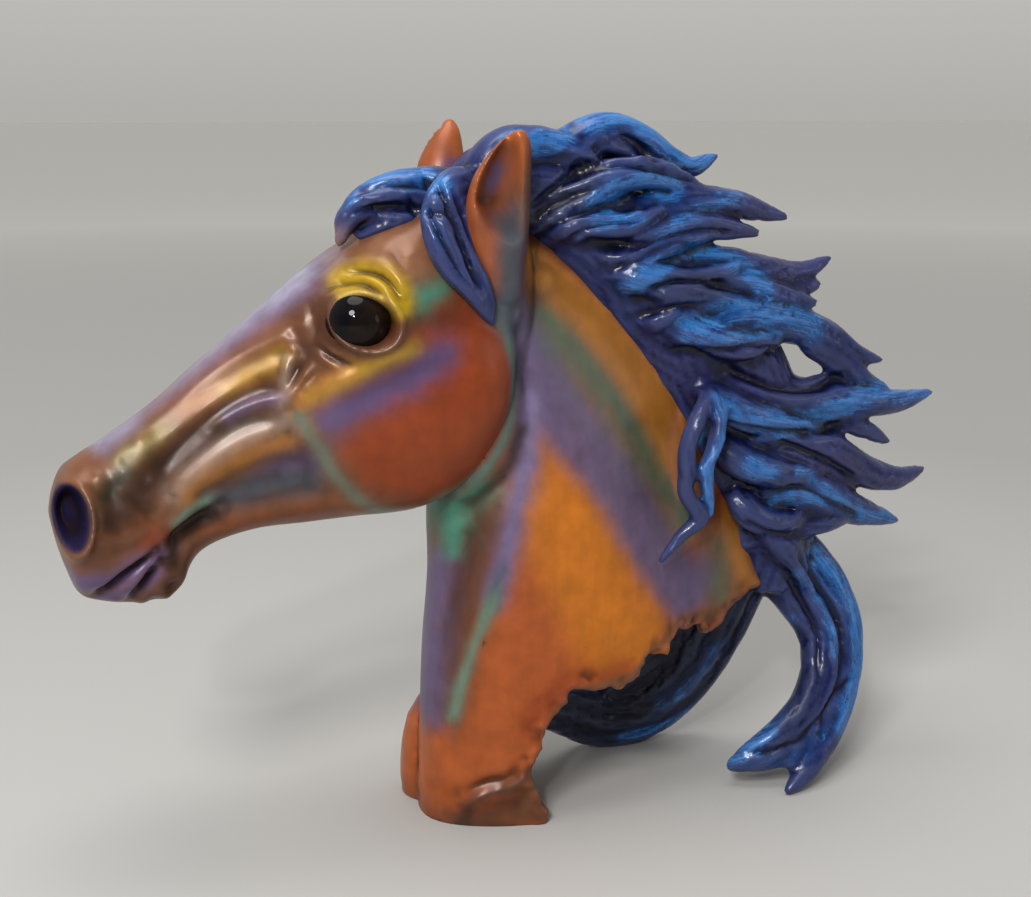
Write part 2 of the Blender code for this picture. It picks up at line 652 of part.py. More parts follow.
def stand_on_floor(obj):
    """Centres the sculpture, lowers its feet by the sink and slices them flat on the floor."""
    mesh = bmesh.new()
    mesh.from_mesh(obj.data)
    shift = (-MIDDLE[0] * U, -MIDDLE[1] * U, -FOOT_SINK)
    bmesh.ops.translate(mesh, verts=mesh.verts, vec=shift)
    whole = mesh.verts[:] + mesh.edges[:] + mesh.faces[:]
    cut = bmesh.ops.bisect_plane(
        mesh, geom=whole, plane_co=(0, 0, 0), plane_no=(0, 0, -1), clear_outer=True
    )
    rims = [e for e in cut["geom_cut"] if isinstance(e, bmesh.types.BMEdge)]
    bmesh.ops.holes_fill(mesh, edges=rims, sides=0)
    bmesh.ops.triangulate(mesh, faces=[f for f in mesh.faces if len(f.verts) > 4])
    data = bpy.data.meshes.new(obj.name)
    mesh.to_mesh(data)
    mesh.free()
    obj.data = data


def faceted(obj):
    """Brings the fused skin down to the budget of facets; each of its squares is two of them."""
    facets = obj.modifiers.new("Facets", "DECIMATE")
    facets.ratio = FACET_BUDGET / (2 * len(obj.data.polygons))
    facets.use_collapse_triangulate = True
    obj.data = baked(obj)
    obj.modifiers.clear()


def paint(obj):
    material = bpy.data.materials.new("bronze_paint")
    material.use_nodes = True
    shader = material.node_tree.nodes["Principled BSDF"]
    shader.inputs["Base Color"].default_value = (*PAINT_COLOUR, 1.0)
    shader.inputs["Roughness"].default_value = PAINT_ROUGHNESS
    shader.inputs["Metallic"].default_value = PAINT_METALLIC
    obj.data.shade_smooth()
    obj.data.set_sharp_from_angle(angle=SHARP_ANGLE)
    obj.data.materials.clear()
    obj.data.materials.append(material)


def build_hide():
    """Head, neck and chest under one skin, carved, and torn off along the lower edge."""
    head = ribbed_body("head_body", HEAD_RIBS)
    neck = ribbed_body("neck_body", NECK_RIBS)
    lobe = ball("chest_lobe", *CHEST_LOBE)
    cutter = torn_cutter()
    cut_away(neck, cutter)
    cut_away(lobe, cutter)
    hide = guide(cast_together("hide", [head, neck, lobe]))
    carve(hide)
    return hide


def build():
    clear_scene()
    parts = [build_hide(), mane_body()]
    for side, name in ((-1, "near"), (1, "far")):
        parts.append(ear(f"ear_{name}", side))
        parts.append(eyeball(f"eye_{name}", side))
    for name, shape in LOCKS.items():
        parts.append(hair_lock(name, *shape))
    for name in FAR_LOCKS:
        parts.append(far_lock(name, *LOCKS[name]))
    for name, shape in STAND_LOCKS.items():
        parts.append(stand_lock(name, *shape))
    horse = cast_together("horse_head", parts)
    faceted(horse)
    stand_on_floor(horse)
    paint(horse)


build()
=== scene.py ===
# %% [markdown]
# # A painted horse head with a flying mane
#
# The real object is one resin casting: a horse's head and torn-off neck, and a mane of flame-like
# locks, two of which curl down and carry it. It is painted by airbrush and dry brush. This lesson
# dresses the plain cast solid: it builds the hide and the mane again with finer carving, lays the
# paint on them in soft strokes, and lights them as on a table by a pale wall.

import json
import math

import bmesh
import bpy
import numpy as np
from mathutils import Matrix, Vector, kdtree, noise

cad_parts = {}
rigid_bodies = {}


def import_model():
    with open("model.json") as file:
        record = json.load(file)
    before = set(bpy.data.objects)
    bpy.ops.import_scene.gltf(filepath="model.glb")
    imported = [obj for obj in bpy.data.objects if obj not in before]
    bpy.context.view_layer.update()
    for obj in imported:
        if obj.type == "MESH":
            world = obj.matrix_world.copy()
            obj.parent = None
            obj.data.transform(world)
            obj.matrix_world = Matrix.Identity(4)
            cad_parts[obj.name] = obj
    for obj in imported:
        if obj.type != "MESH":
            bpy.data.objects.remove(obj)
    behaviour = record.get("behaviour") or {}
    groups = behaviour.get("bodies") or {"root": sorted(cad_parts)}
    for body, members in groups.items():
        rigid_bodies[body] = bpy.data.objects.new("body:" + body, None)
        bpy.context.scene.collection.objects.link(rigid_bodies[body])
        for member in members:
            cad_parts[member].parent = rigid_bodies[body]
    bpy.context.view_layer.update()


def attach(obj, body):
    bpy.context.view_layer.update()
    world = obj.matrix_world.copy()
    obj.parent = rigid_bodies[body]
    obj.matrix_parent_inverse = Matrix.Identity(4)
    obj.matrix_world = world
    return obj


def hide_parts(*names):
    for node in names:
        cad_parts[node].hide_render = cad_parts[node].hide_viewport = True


for leftover in list(bpy.data.objects):
    bpy.data.objects.remove(leftover, do_unlink=True)

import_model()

# %% [markdown]
# ## One drawing for all of it
#
# A modeller scales a clay study by its height. So the drawing below is in hundredths of the height:
# x runs from the nose to the mane tips, z up from the floor, and y is negative on the horse's left.
# One number turns it into metres, and one shift puts the middle of the piece over the origin.

# %% Scale and place of the drawing
HEIGHT = 0.192
U = HEIGHT / 100
MIDDLE = (3.02, -0.1)
FOOT_SINK = 0.0012


def placed(points):
    """Points of the drawing in the room, in metres."""
    rows = np.array(points, dtype=float) * U
    return rows - (MIDDLE[0] * U, MIDDLE[1] * U, FOOT_SINK)


def drawn(points):
    """Points in the room, in metres, back on the drawing."""
    return (np.asarray(points, dtype=float) + (MIDDLE[0] * U, MIDDLE[1] * U, FOOT_SINK)) / U


def smooth_step(value, start, end):
    t = np.clip((value - start) / (end - start), 0, 1)
    return t * t * (3 - 2 * t)


def through(points, steps):
    """Points on a smooth curve through the given ones, a number of steps to each span."""
    rows = np.array(points, dtype=float)
    rows = np.vstack([2 * rows[0] - rows[1], rows, 2 * rows[-1] - rows[-2]])
    made = []
    for i in range(1, len(rows) - 2):
        p0, p1, p2, p3 = rows[i - 1 : i + 3]
        for k in range(steps):
            t = k / steps
            bend = (2 * p0 - 5 * p1 + 4 * p2 - p3) * t**2 + (3 * p1 - p0 - 3 * p2 + p3) * t**3
            made.append(0.5 * (2 * p1 + (p2 - p0) * t + bend))
    made.append(rows[-2])
    return np.array(made)


print("one unit of the drawing is", round(U * 1000, 2), "mm")

# %% [markdown]
# ## Helpers for closed skins
#
# Ribs, ears and cutters are all rings of points with a skin over them, like the hull of a boat.
# Voxel remesh then fuses several such hulls into one closed skin with no inner walls, as slip fills
# a mould. A fine voxel keeps the carving crisp, and Decimate brings the count of faces back down
# where the skin is calm.

# %% Rings, skins and fusing
def linked(name, mesh):
    data = bpy.data.meshes.new(name)
    mesh.to_mesh(data)
    mesh.free()
    obj = bpy.data.objects.new(name, data)
    bpy.context.scene.collection.objects.link(obj)
    return obj


def loft(name, rings):
    """A closed solid skinned over rings of points."""
    mesh = bmesh.new()
    sides = len(rings[0])
    skin = [[mesh.verts.new(p) for p in ring] for ring in rings]
    for low, high in zip(skin, skin[1:]):
        for i in range(sides):
            j = (i + 1) % sides
            mesh.faces.new((low[i], low[j], high[j], high[i]))
    mesh.faces.new(skin[0])
    mesh.faces.new(skin[-1])
    bmesh.ops.triangulate(mesh, faces=mesh.faces)
    bmesh.ops.recalc_face_normals(mesh, faces=mesh.faces)
    return linked(name, mesh)


def ball(name, centre, halves, sides=64, levels=48):
    mesh = bmesh.new()
    bmesh.ops.create_uvsphere(mesh, u_segments=sides, v_segments=levels, radius=1.0)
    for v in mesh.verts:
        v.co = Vector(placed([[c + h * p for c, h, p in zip(centre, halves, v.co)]])[0])
    return linked(name, mesh)


def baked(obj):
    graph = bpy.context.evaluated_depsgraph_get()
    return bpy.data.meshes.new_from_object(obj.evaluated_get(graph))


def cut_away(obj, cutter):
    cut = obj.modifiers.new("Cut away", "BOOLEAN")
    cut.operation = "DIFFERENCE"
    cut.object = cutter
    obj.data = baked(obj)
    obj.modifiers.clear()


def fused(name, parts, grain):
    """One closed skin over all the parts, which are used up."""
    joined = bmesh.new()
    for part in parts:
        joined.from_mesh(part.data)
    whole = linked(name, joined)
    skin = whole.modifiers.new("Cast skin", "REMESH")
    skin.mode = "VOXEL"
    skin.voxel_size = grain
    whole.data = baked(whole)
    whole.modifiers.clear()
    for part in parts:
        bpy.data.objects.remove(part, do_unlink=True)
    return whole


def thinned(obj, facets):
    """Takes faces out of the calm places until this many triangles are left."""
    count = sum(len(p.vertices) - 2 for p in obj.data.polygons)
    if count <= facets:
        return
    fewer = obj.modifiers.new("Fewer faces", "DECIMATE")
    fewer.ratio = facets / count
    fewer.use_collapse_triangulate = True
    obj.data = baked(obj)
    obj.modifiers.clear()


def sliced_on_floor(obj):
    """Slices what reaches below the floor, so that the feet are flat and closed."""
    mesh = bmesh.new()
    mesh.from_mesh(obj.data)
    whole = mesh.verts[:] + mesh.edges[:] + mesh.faces[:]
    cut = bmesh.ops.bisect_plane(
        mesh, geom=whole, plane_co=(0, 0, 0), plane_no=(0, 0, -1), clear_outer=True
    )
    rims = [e for e in cut["geom_cut"] if isinstance(e, bmesh.types.BMEdge)]
    bmesh.ops.holes_fill(mesh, edges=rims, sides=0)
    bmesh.ops.triangulate(mesh, faces=[f for f in mesh.faces if len(f.verts) > 4])
    bmesh.ops.recalc_face_normals(mesh, faces=mesh.faces)
    mesh.to_mesh(obj.data)
    mesh.free()
    obj.data.update()


def skin_points(obj):
    """Places and normals of a skin's points, in metres."""
    count = len(obj.data.vertices)
    places = np.empty(count * 3, dtype=np.float32)
    normals = np.empty(count * 3, dtype=np.float32)
    obj.data.vertices.foreach_get("co", places)
    obj.data.vertex_normals.foreach_get("vector", normals)
    return places.reshape(-1, 3).astype(float), normals.reshape(-1, 3).astype(float)


def move_skin(obj, places):
    obj.data.vertices.foreach_set("co", places.astype(np.float32).ravel())
    obj.data.update()


def relaxed(obj, places, rounds, share=0.5):
    """The places after each point has moved some rounds towards the mean of its neighbours."""
    ends = np.empty(len(obj.data.edges) * 2, dtype=np.int32)
    obj.data.edges.foreach_get("vertices", ends)
    a, b = ends.reshape(-1, 2).T
    count = len(places)
    shared = np.bincount(a, minlength=count) + np.bincount(b, minlength=count)
    shared = np.maximum(shared, 1)[:, None]
    for _ in range(rounds):
        total = np.empty_like(places)
        for axis in range(3):
            column = places[:, axis]
            total[:, axis] = np.bincount(a, column[b], count) + np.bincount(b, column[a], count)
        places = places + share * (total / shared - places)
    return places


def store(obj, name, kind, values):
    """Keeps a value for each point of the skin, for the material to read."""
    layer = obj.data.attributes.new(name, kind, "POINT")
    key = {"FLOAT": "value", "FLOAT_VECTOR": "vector", "FLOAT_COLOR": "color"}[kind]
    layer.data.foreach_set(key, np.asarray(values, dtype=np.float32).ravel())


def plug(tree, node, values):
    """Sets each input of a node that is given a constant, and links each that is given a socket."""
    for key, value in values.items():
        if isinstance(value, bpy.types.NodeSocket):
            tree.links.new(value, node.inputs[key])
        else:
            node.inputs[key].default_value = value


def made(tree, kind, values=None, **settings):
    """A new node of a tree, with its settings and inputs."""
    node = tree.nodes.new(kind)
    for name, value in settings.items():
        setattr(node, name, value)
    plug(tree, node, values or {})
    return node


print("helpers ready")

# %% [markdown]
# ## The hide: head, neck and ears
#
# The head is a row of ribs from the nose line down to the jaw line, and the neck a row from the
# crest down to the throat. Each rib is given by its two ends and three half widths. The lower end
# of the neck is torn off along a ragged line, so a block with that line as its upper face is cut
# out of it.

# %% Ribs of the head and neck
HEAD_RIBS = (
    (-63.4, 50.2, -62.6, 45.8, 2, 3.2, 2),
    (-62.8, 52.8, -61.8, 43, 4.4, 6.6, 3.8),
    (-61.6, 55.4, -60.6, 39.8, 5.9, 8.6, 5),
    (-59.4, 57.2, -58.6, 38.4, 6.2, 9, 5.4),
    (-54.4, 60.2, -53.4, 37.4, 5.6, 7.8, 5),
    (-49.2, 63.8, -48.2, 38.6, 5.2, 7, 4.6),
    (-44.6, 67.7, -44.6, 43.4, 5, 7, 4.6),
    (-38.5, 72.6, -38, 45.6, 5.4, 7.6, 5),
    (-32, 77.8, -30.5, 46, 7, 9.4, 6.4),
    (-26, 82, -23.5, 46.4, 10.4, 11.2, 8.4),
    (-19.8, 85.8, -16.6, 46.8, 11.4, 12.2, 10),
    (-13.4, 88.8, -10.6, 49.4, 9.6, 12.2, 10.4),
    (-7.4, 90.4, -5.6, 55, 8, 11.4, 9.6),
    (-2.2, 89.4, -1.4, 62, 6, 9, 7.4),
    (1, 86, 1.2, 70, 3, 5, 4),
)
NECK_RIBS = (
    (-6, 87.5, -9, 60, 4.6, 8, 7),
    (3.5, 85.8, -12.4, 47.5, 4.8, 9, 7.2),
    (14, 78.6, -12.8, 36, 5, 10, 7.4),
    (22.6, 69.4, -13.8, 26, 5.2, 10.8, 7.6),
    (29.4, 58.4, -14.3, 16, 5.4, 11.2, 8),
    (35, 46.8, -14.6, 6, 5.4, 11.2, 8.4),
    (39.4, 35, -14.6, -3, 5.4, 11, 8.6),
    (42, 22, -13, -14, 5.4, 10.8, 8.6),
)
RIB_STEPS = 8
RING_SIDES = 96
RING_SQUARE = 0.85
RIB_BLEND = (0.15, 0.5)
CHEST_LOBE = ((-9.8, 6.4, 4.0), (6.0, 5.4, 13.0))


def rib_ring(row):
    """A closed ring round one rib: its half width goes from the upper to the lower of the three."""
    top_x, top_z, low_x, low_z, upper, middle, lower = row
    quarter = math.sin(math.pi / 4) ** RING_SQUARE
    start, end = RIB_BLEND
    angle = 2 * np.pi * np.arange(RING_SIDES) / RING_SIDES
    down = 0.5 * (1 - np.cos(angle))
    across = np.sin(angle)
    width = middle + (upper / quarter - middle) * (1 - smooth_step(down, start, end))
    width += (lower / quarter - middle) * smooth_step(down, 1 - end, 1 - start)
    side = np.sign(across) * np.abs(across) ** RING_SQUARE * width
    x = top_x + (low_x - top_x) * down
    z = top_z + (low_z - top_z) * down
    return placed(np.stack([x, side, z], axis=1))


def ribbed_body(name, ribs):
    return loft(name, [rib_ring(row) for row in through(ribs, RIB_STEPS)])


head = ribbed_body("head", HEAD_RIBS)
neck = ribbed_body("neck", NECK_RIBS)
lobe = ball("chest_lobe", *CHEST_LOBE)
print("head, neck and chest:", sum(len(o.data.vertices) for o in (head, neck, lobe)), "points")

# %% The torn edge
TORN_EDGE = (
    (0.6, -14), (0.9, -4), (0.6, 3), (-1.4, 8), (0.6, 12.6), (0.4, 15.4), (3, 18.4), (6.4, 21.2),
    (9.4, 19.8), (13.6, 20), (17, 23.8), (20.6, 23.6), (22.4, 27), (25.4, 26.6), (29, 24.9),
    (33, 28), (38, 29.5), (60, 31),
)
TORN_STEPS = 3
TORN_SLICES = 15
NECK_REACH = 16.0
TORN_WAVE = 2.0
WAVE_PITCH = 0.31
WAVE_SLANT = 0.5


def torn_cutter():
    """A block under the neck whose upper face is the ragged break, different at each depth."""
    edge = through(TORN_EDGE, TORN_STEPS)
    rings = []
    for k in range(TORN_SLICES):
        y = NECK_REACH * (2 * k / (TORN_SLICES - 1) - 1)
        ring = []
        for x, z in edge:
            wave = TORN_WAVE * noise.noise(np.array((x, y, z)) * WAVE_PITCH)
            ring.append((x + WAVE_SLANT * wave, y, z + wave))
        ring.append((edge[-1][0], y, edge[0][1]))
        rings.append(placed(ring))
    return loft("torn_cutter", rings)


cutter = torn_cutter()
cut_away(neck, cutter)
cut_away(lobe, cutter)
bpy.data.objects.remove(cutter, do_unlink=True)
print("neck after the tear:", len(neck.data.vertices), "points")

# %% [markdown]
# ## Ears
#
# An ear is a stack of ovals turned to face forward and out. A second, slimmer stack, shifted
# forward and out, is cut from it, so it is a cupped leaf with a wall of about two millimetres.

# %% Both ears
EAR_RINGS = (
    (76, -5, 8, 3.6, 2.8),
    (80, -5.6, 8.7, 4.2, 3.2),
    (84, -6, 9.4, 4.7, 3.5),
    (88, -6.1, 10.1, 4.8, 3.4),
    (91.6, -5.8, 10.8, 4.4, 3),
    (94.6, -5, 11.5, 3.3, 2.3),
    (96.6, -4.3, 12.1, 2, 1.5),
    (97.8, -3.9, 12.5, 0.6, 0.6),
)
EAR_STEPS = 6
EAR_SIDES = 40
EAR_TURN = math.radians(24)
EAR_WALL = 0.0022 / U
FAR_EAR_SHIFT = (1.2, -1.4)
FAR_EAR_SLIM = 0.76
EAR_HOLLOW_FROM = 83.0
EAR_HOLLOW_RUN = 6.0
EAR_HOLLOW_FORWARD = 0.9
EAR_HOLLOW_OUT = 1.3
EAR_HOLLOW_LEAST = 0.15


def ear_ring(side, z, x, y, half_width, half_thick):
    turn = EAR_TURN * side
    a = 2 * np.pi * np.arange(EAR_SIDES) / EAR_SIDES
    u = np.cos(a) * half_width
    v = np.sin(a) * half_thick
    across = x + u * math.cos(turn) + v * math.sin(turn)
    out = y * side - u * math.sin(turn) + v * math.cos(turn)
    return placed(np.stack([across, out, np.full(EAR_SIDES, z)], axis=1))


def ear(name, side):
    rows = through(EAR_RINGS, EAR_STEPS)
    if side > 0:
        rows[:, :2] += FAR_EAR_SHIFT
        rows[:, 3:] *= FAR_EAR_SLIM
    body = loft(name, [ear_ring(side, *row) for row in rows])
    hollow = []
    for z, x, y, half_width, half_thick in rows:
        opening = (z - EAR_HOLLOW_FROM) / EAR_HOLLOW_RUN
        if opening < 0:
            continue
        opening = min(1.0, opening)
        middle_x = x - EAR_HOLLOW_FORWARD * opening
        middle_y = y + EAR_HOLLOW_OUT * half_thick - EAR_WALL / 2
        inner = max(EAR_HOLLOW_LEAST, half_width - EAR_WALL)
        deep = max(EAR_HOLLOW_LEAST, half_thick * opening)
        hollow.append(ear_ring(side, z, middle_x, middle_y, inner, deep))
    cup = loft(name + "_hollow", hollow)
    cut_away(body, cup)
    bpy.data.objects.remove(cup, do_unlink=True)
    return body


ears = [ear("ear_near", -1), ear("ear_far", 1)]
HIDE_GRAIN = 0.00058
hide = fused("painted_hide", [head, neck, lobe] + ears, HIDE_GRAIN)
print("hide fused:", len(hide.data.polygons), "faces")

# %% [markdown]
# ## Carving the face and neck
#
# A sculptor works a face with a loop and a knife: a line, how wide, how deep. The table does the
# same in side view. Each line raises or sinks the skin along its normal, with a soft bell profile.
# The carving fades where the skin turns from facing sideways, so both flanks are carved and the
# bridge of the nose stays clean.

# %% Lines of the carving: half width and height, then the line in side view (x, z)
CARVING = (
    ("brow", 1.3, 1.3, ((-29, 78.2), (-27.4, 80.6), (-23.8, 81.8), (-20.8, 80.6), (-19.2, 77))),
    ("brow fold", 0.42, -1.4, ((-26.4, 79.7), (-23.6, 80.3), (-21.2, 79.3), (-19.9, 76.2))),
    ("inner fold", 0.7, 0.55, ((-26.4, 78.9), (-23.4, 79.3), (-21.4, 77.7), (-20.7, 75))),
    ("lid groove", 0.4, -1.2, ((-28.8, 77), (-27, 78.5), (-24, 78.8), (-21.8, 76.8), (-21, 74.8))),
    ("brow wrinkle", 0.4, -0.8, ((-27.6, 81.2), (-25, 82.4), (-22, 82.2))),
    ("under eye", 0.9, -0.4, ((-29.6, 70.4), (-26, 68.6), (-21.8, 69.6))),
    ("wrinkle one", 0.3, 0.55, ((-29.6, 72.2), (-28.2, 70.6), (-26, 69.9))),
    ("wrinkle two", 0.3, -0.6, ((-29.9, 71.2), (-28.4, 69.9), (-26.4, 69.2))),
    ("wrinkle three", 0.3, 0.5, ((-30.3, 70.4), (-28.6, 69.1), (-26.8, 68.4))),
    ("tear bone", 0.8, 0.8, ((-29.6, 77.8), (-30.8, 76), (-30.9, 73.8), (-32.6, 72.5))),
    ("hollow before eye", 1, -0.7, ((-29.5, 75.6), (-30, 73.4), (-31.2, 71.6))),
    ("nasal bone", 1, 0.7, ((-31.9, 73), (-37.8, 70.3), (-43.5, 67), (-50.4, 62.2), (-56.4, 58.8))),
    ("nose side", 1.3, -0.55, ((-32.6, 70.6), (-38, 68.6), (-42.6, 65.6), (-47, 62.6),
        (-52, 59.6))),
    ("nose muscle", 1.2, 0.5, ((-33.6, 70.4), (-37.4, 67.5), (-42.7, 64.3), (-47.4, 61.8),
        (-54, 57.4))),
    ("vein", 0.5, 0.5, ((-34, 64.9), (-36.8, 64.3), (-40.2, 63), (-43.8, 60.8))),
    ("nose fold", 1.1, -0.7, ((-34.6, 66.6), (-38.6, 65.3), (-42.4, 62.7), (-46.6, 59.4),
        (-51, 54.8))),
    ("fold up", 0.5, 0.8, ((-33, 70.2), (-33.8, 67.4), (-34.2, 65))),
    ("fold back", 0.5, 0.7, ((-30.2, 69.2), (-32.4, 66.4), (-34.2, 63.8))),
    ("fold hollow", 0.5, -0.7, ((-31.6, 69.6), (-33.1, 66.8))),
    ("face crest", 1.3, 0.9, ((-18, 71.2), (-22.2, 69.4), (-26.6, 67.6), (-31, 65.2),
        (-34.2, 63.2))),
    ("crest shade", 0.8, -0.4, ((-20, 72.4), (-24.6, 70.3), (-29, 67.9), (-31.6, 66))),
    ("cheek muscle", 2.1, 0.9, ((-33.8, 60.2), (-38.4, 59), (-43.4, 56.4), (-48.4, 52.8))),
    ("muscle top", 0.9, -0.5, ((-33.4, 62.4), (-38.6, 61.4), (-43, 59), (-47.6, 55.2),
        (-53, 50.2))),
    ("muscle low", 1, -0.45, ((-33, 57.6), (-38, 55.9), (-43.2, 53), (-46.6, 51))),
    ("cheek hollow", 1.8, -0.9, ((-33, 54.6), (-38.4, 53.2), (-43.6, 51.4))),
    ("jaw bar", 1.4, 0.8, ((-42, 47.6), (-35.4, 48.8), (-28, 49.8), (-22.4, 48.6))),
    ("bar top", 0.8, -0.35, ((-41.8, 50.2), (-36, 51), (-29.6, 52.6))),
    ("mouth corner", 1, -2.6, ((-42.2, 49.6), (-45.2, 48.4), (-48, 46.8), (-49.2, 44.6))),
    ("corner fold", 0.8, 0.7, ((-43.3, 51.7), (-46.7, 50.4), (-49.6, 48.4))),
    ("lip fold", 0.7, 0.5, ((-50.8, 49.6), (-53.4, 48.2), (-57, 47.4))),
    ("mouth", 0.5, -3, ((-58.6, 39.6), (-57.4, 40.8), (-55.4, 42.7), (-53.4, 44), (-50.8, 45.6))),
    ("upper lip", 1.2, 1.2, ((-61.2, 42.6), (-57, 42.8), (-53.4, 44.6), (-50.6, 46.2))),
    ("lower lip", 0.9, 1.4, ((-56, 39.6), (-54, 41.4), (-51.6, 43.4))),
    ("chin groove", 0.5, -2.8, ((-54.2, 38.6), (-53.1, 40.7), (-51.9, 42.1), (-50.4, 43.6))),
    ("chin", 1.6, 2.4, ((-51.4, 38.4), (-49, 40.6))),
    ("nostril back", 1.4, -1, ((-57.4, 55.8), (-56.2, 52.4), (-56.8, 47.8))),
    ("muzzle fold", 0.9, -0.5, ((-55, 54), (-52, 51.4), (-51, 48.6))),
    ("temple knob", 1.1, 0.6, ((-18.6, 83.6), (-17.6, 80.6))),
    ("temple groove", 0.6, -0.5, ((-19.6, 84.4), (-19.4, 81.6), (-18.4, 79.2))),
    ("throat crease", 1.1, -1.1, ((-12, 47.4), (-7.2, 50.2), (-3.6, 56.2), (-2.2, 64), (-3, 74))),
    ("jugular", 1.3, -1, ((-9.4, 46), (-10.2, 40), (-12.2, 30.6), (-13.4, 21.3), (-14.2, 12))),
    ("neck cord", 1.4, 0.8, ((-5.6, 48), (-8.4, 38.1), (-10.8, 27.6), (-12.7, 18.2), (-13.9, 8.7))),
    ("crest groove", 2.2, -0.6, ((2, 78), (12, 69), (20, 58), (27, 44))),
    ("foot lip", 0.9, 1, ((-11, 3.6), (-8, 5.4), (-5, 6), (-1.6, 8.6))),
    ("foot groove", 0.7, -0.9, ((-10.6, 5.6), (-7.6, 7.4), (-4.6, 8.2), (-2.4, 10.4))),
    ("crest rim", 0.8, 0.7, ((0.5, 83), (10.4, 75.6), (18.1, 66.8), (23.6, 59.6), (25.4, 51.6),
        (27.6, 43))),
)
CARVE_STEPS = 4
CARVE_DEPTH = 0.62
CARVE_BREADTH = 1.25
CARVE_RUN_OUT = (-0.8, 2.6)
CARVE_FACING = (0.15, 0.7)
CHEEK_DISC = (-17.6, 60.4, 13.6, 12.4)
CHEEK_RISE = 0.95
CHEEK_EDGE = 0.2


def line_distance(points, line):
    """Each point's distance in side view from a line of points."""
    least = np.full(len(points), np.inf)
    for a, b in zip(line[:-1], line[1:]):
        run = b - a
        share = np.clip(((points - a) @ run) / (run @ run), 0, 1)
        gap = np.linalg.norm(points - (a + share[:, None] * run), axis=1)
        least = np.minimum(least, gap)
    return least


def oval_reach(points, oval):
    """Each point's distance from the middle of an oval, as a share of the oval's own size."""
    x, z, half_x, half_z = oval
    return np.hypot((points[:, 0] - x) / half_x, (points[:, 1] - z) / half_z)


def worked(side, table, breadth=1.0):
    """How far a table of lines raises or sinks the skin; each line runs out towards its ends."""
    rise = np.zeros(len(side))
    for _, half_width, height, line in table:
        track = through(line, CARVE_STEPS)
        gap = line_distance(side, track)
        from_end = [np.linalg.norm(side - end, axis=1) for end in (track[0], track[-1])]
        force = height * smooth_step(np.minimum(*from_end), *CARVE_RUN_OUT)
        rise += force * np.exp(-((gap / (half_width * breadth)) ** 2))
    return rise


print(len(CARVING), "carved lines on each side")

# %% [markdown]
# ## Eyes, nostrils and the broken edge
#
# Each eye is a glossy ball in an almond opening: the skin inside the almond is pushed in behind the
# ball, and round it stands a lid, thicker above. The nostril is an oval that opens sideways with a
# flared rim. The broken edge gets the grit of torn casting.

# %% Almond, nostril and grit
EYE_PLACE = (-24.6, 9.1, 73.9)
EYE_RADIUS = 0.0165 / 2 / U
ALMOND = (-24.0, 74.2, 3.5, 2.95)
ALMOND_TILT = math.radians(-8)
SOCKET_RISE = 0.5
SOCKET_REACH = (1.1, 1.9)
LID_RISE = 0.6
LID_AT = 1.14
LID_BREADTH = 0.13
EYE_SINK = 3.2
EYE_OPENING = (0.8, 1.02)
NOSTRIL = (-60.9, 50.9, 2.3, 4.2)
NOSTRIL_DEPTH = 4.6
NOSTRIL_WELL = (0.35, 1.02)
NOSTRIL_SIDE = (1.5, 4.0)
RIM_RISE = 0.6
RIM_AT = 1.1
RIM_BREADTH = 0.17
RIM_BUMPS = ((-61.4, 55.6, 0.9, 0.9), (-59.2, 55.4, 0.9, 0.9))
RIM_BUMP_RISE = 0.22
TORN_GRIT = 0.9
GRIT_PITCH = 0.42
GRIT_REACH = 2.0
FINE_GRIT = 0.38
FINE_GRIT_PITCH = 0.9
FOOT_LUMPS = 0.6
FOOT_PITCH = 0.24
FOOT_TOP = (4.0, 11.0)


def almond_reach(side):
    x, z, half_x, half_z = ALMOND
    dx = side[:, 0] - x
    dz = side[:, 1] - z
    along = dx * math.cos(ALMOND_TILT) + dz * math.sin(ALMOND_TILT)
    up = dz * math.cos(ALMOND_TILT) - dx * math.sin(ALMOND_TILT)
    return np.hypot(along / half_x, up / half_z)


def lid_rise(side):
    reach = almond_reach(side)
    rise = SOCKET_RISE * (1 - smooth_step(reach, *SOCKET_REACH))
    rise += LID_RISE * np.exp(-(((reach - LID_AT) / LID_BREADTH) ** 2))
    return rise - EYE_SINK * (1 - smooth_step(reach, *EYE_OPENING))


def nostril_flare(side, off_middle):
    reach = oval_reach(side, NOSTRIL)
    flare = RIM_RISE * np.exp(-(((reach - RIM_AT) / RIM_BREADTH) ** 2))
    for bump in RIM_BUMPS:
        flare += RIM_BUMP_RISE * np.exp(-(oval_reach(side, bump) ** 2))
    flare -= NOSTRIL_DEPTH * (1 - smooth_step(reach, *NOSTRIL_WELL))
    return flare * np.sign(off_middle) * smooth_step(np.abs(off_middle), *NOSTRIL_SIDE)


def noise_at(places, pitch, seed=0.0):
    """Smooth noise at each place, from about -1 to 1."""
    return np.array([noise.noise(p) for p in places * pitch + seed])


def torn_grit(places):
    gap = line_distance(places[:, [0, 2]], through(TORN_EDGE, TORN_STEPS))
    close = np.flatnonzero(gap < 2 * GRIT_REACH)
    grit = np.zeros(len(places))
    near = np.exp(-((gap[close] / GRIT_REACH) ** 2))
    grit[close] = TORN_GRIT * noise_at(places[close], GRIT_PITCH) * near
    grit[close] += FINE_GRIT * noise_at(places[close], FINE_GRIT_PITCH, 7.3) * near**2
    low = np.flatnonzero((places[:, 2] < FOOT_TOP[1]) & (places[:, 0] < 2))
    fade = (1 - smooth_step(places[low, 2], *FOOT_TOP)) * smooth_step(places[low, 2], 0.6, 2.0)
    grit[low] += FOOT_LUMPS * noise_at(places[low], FOOT_PITCH, 2.2) * fade
    return grit


HIDE_FACETS = 190000
JOINT_ROUNDS = 6
LAST_TOUCH = 0.3


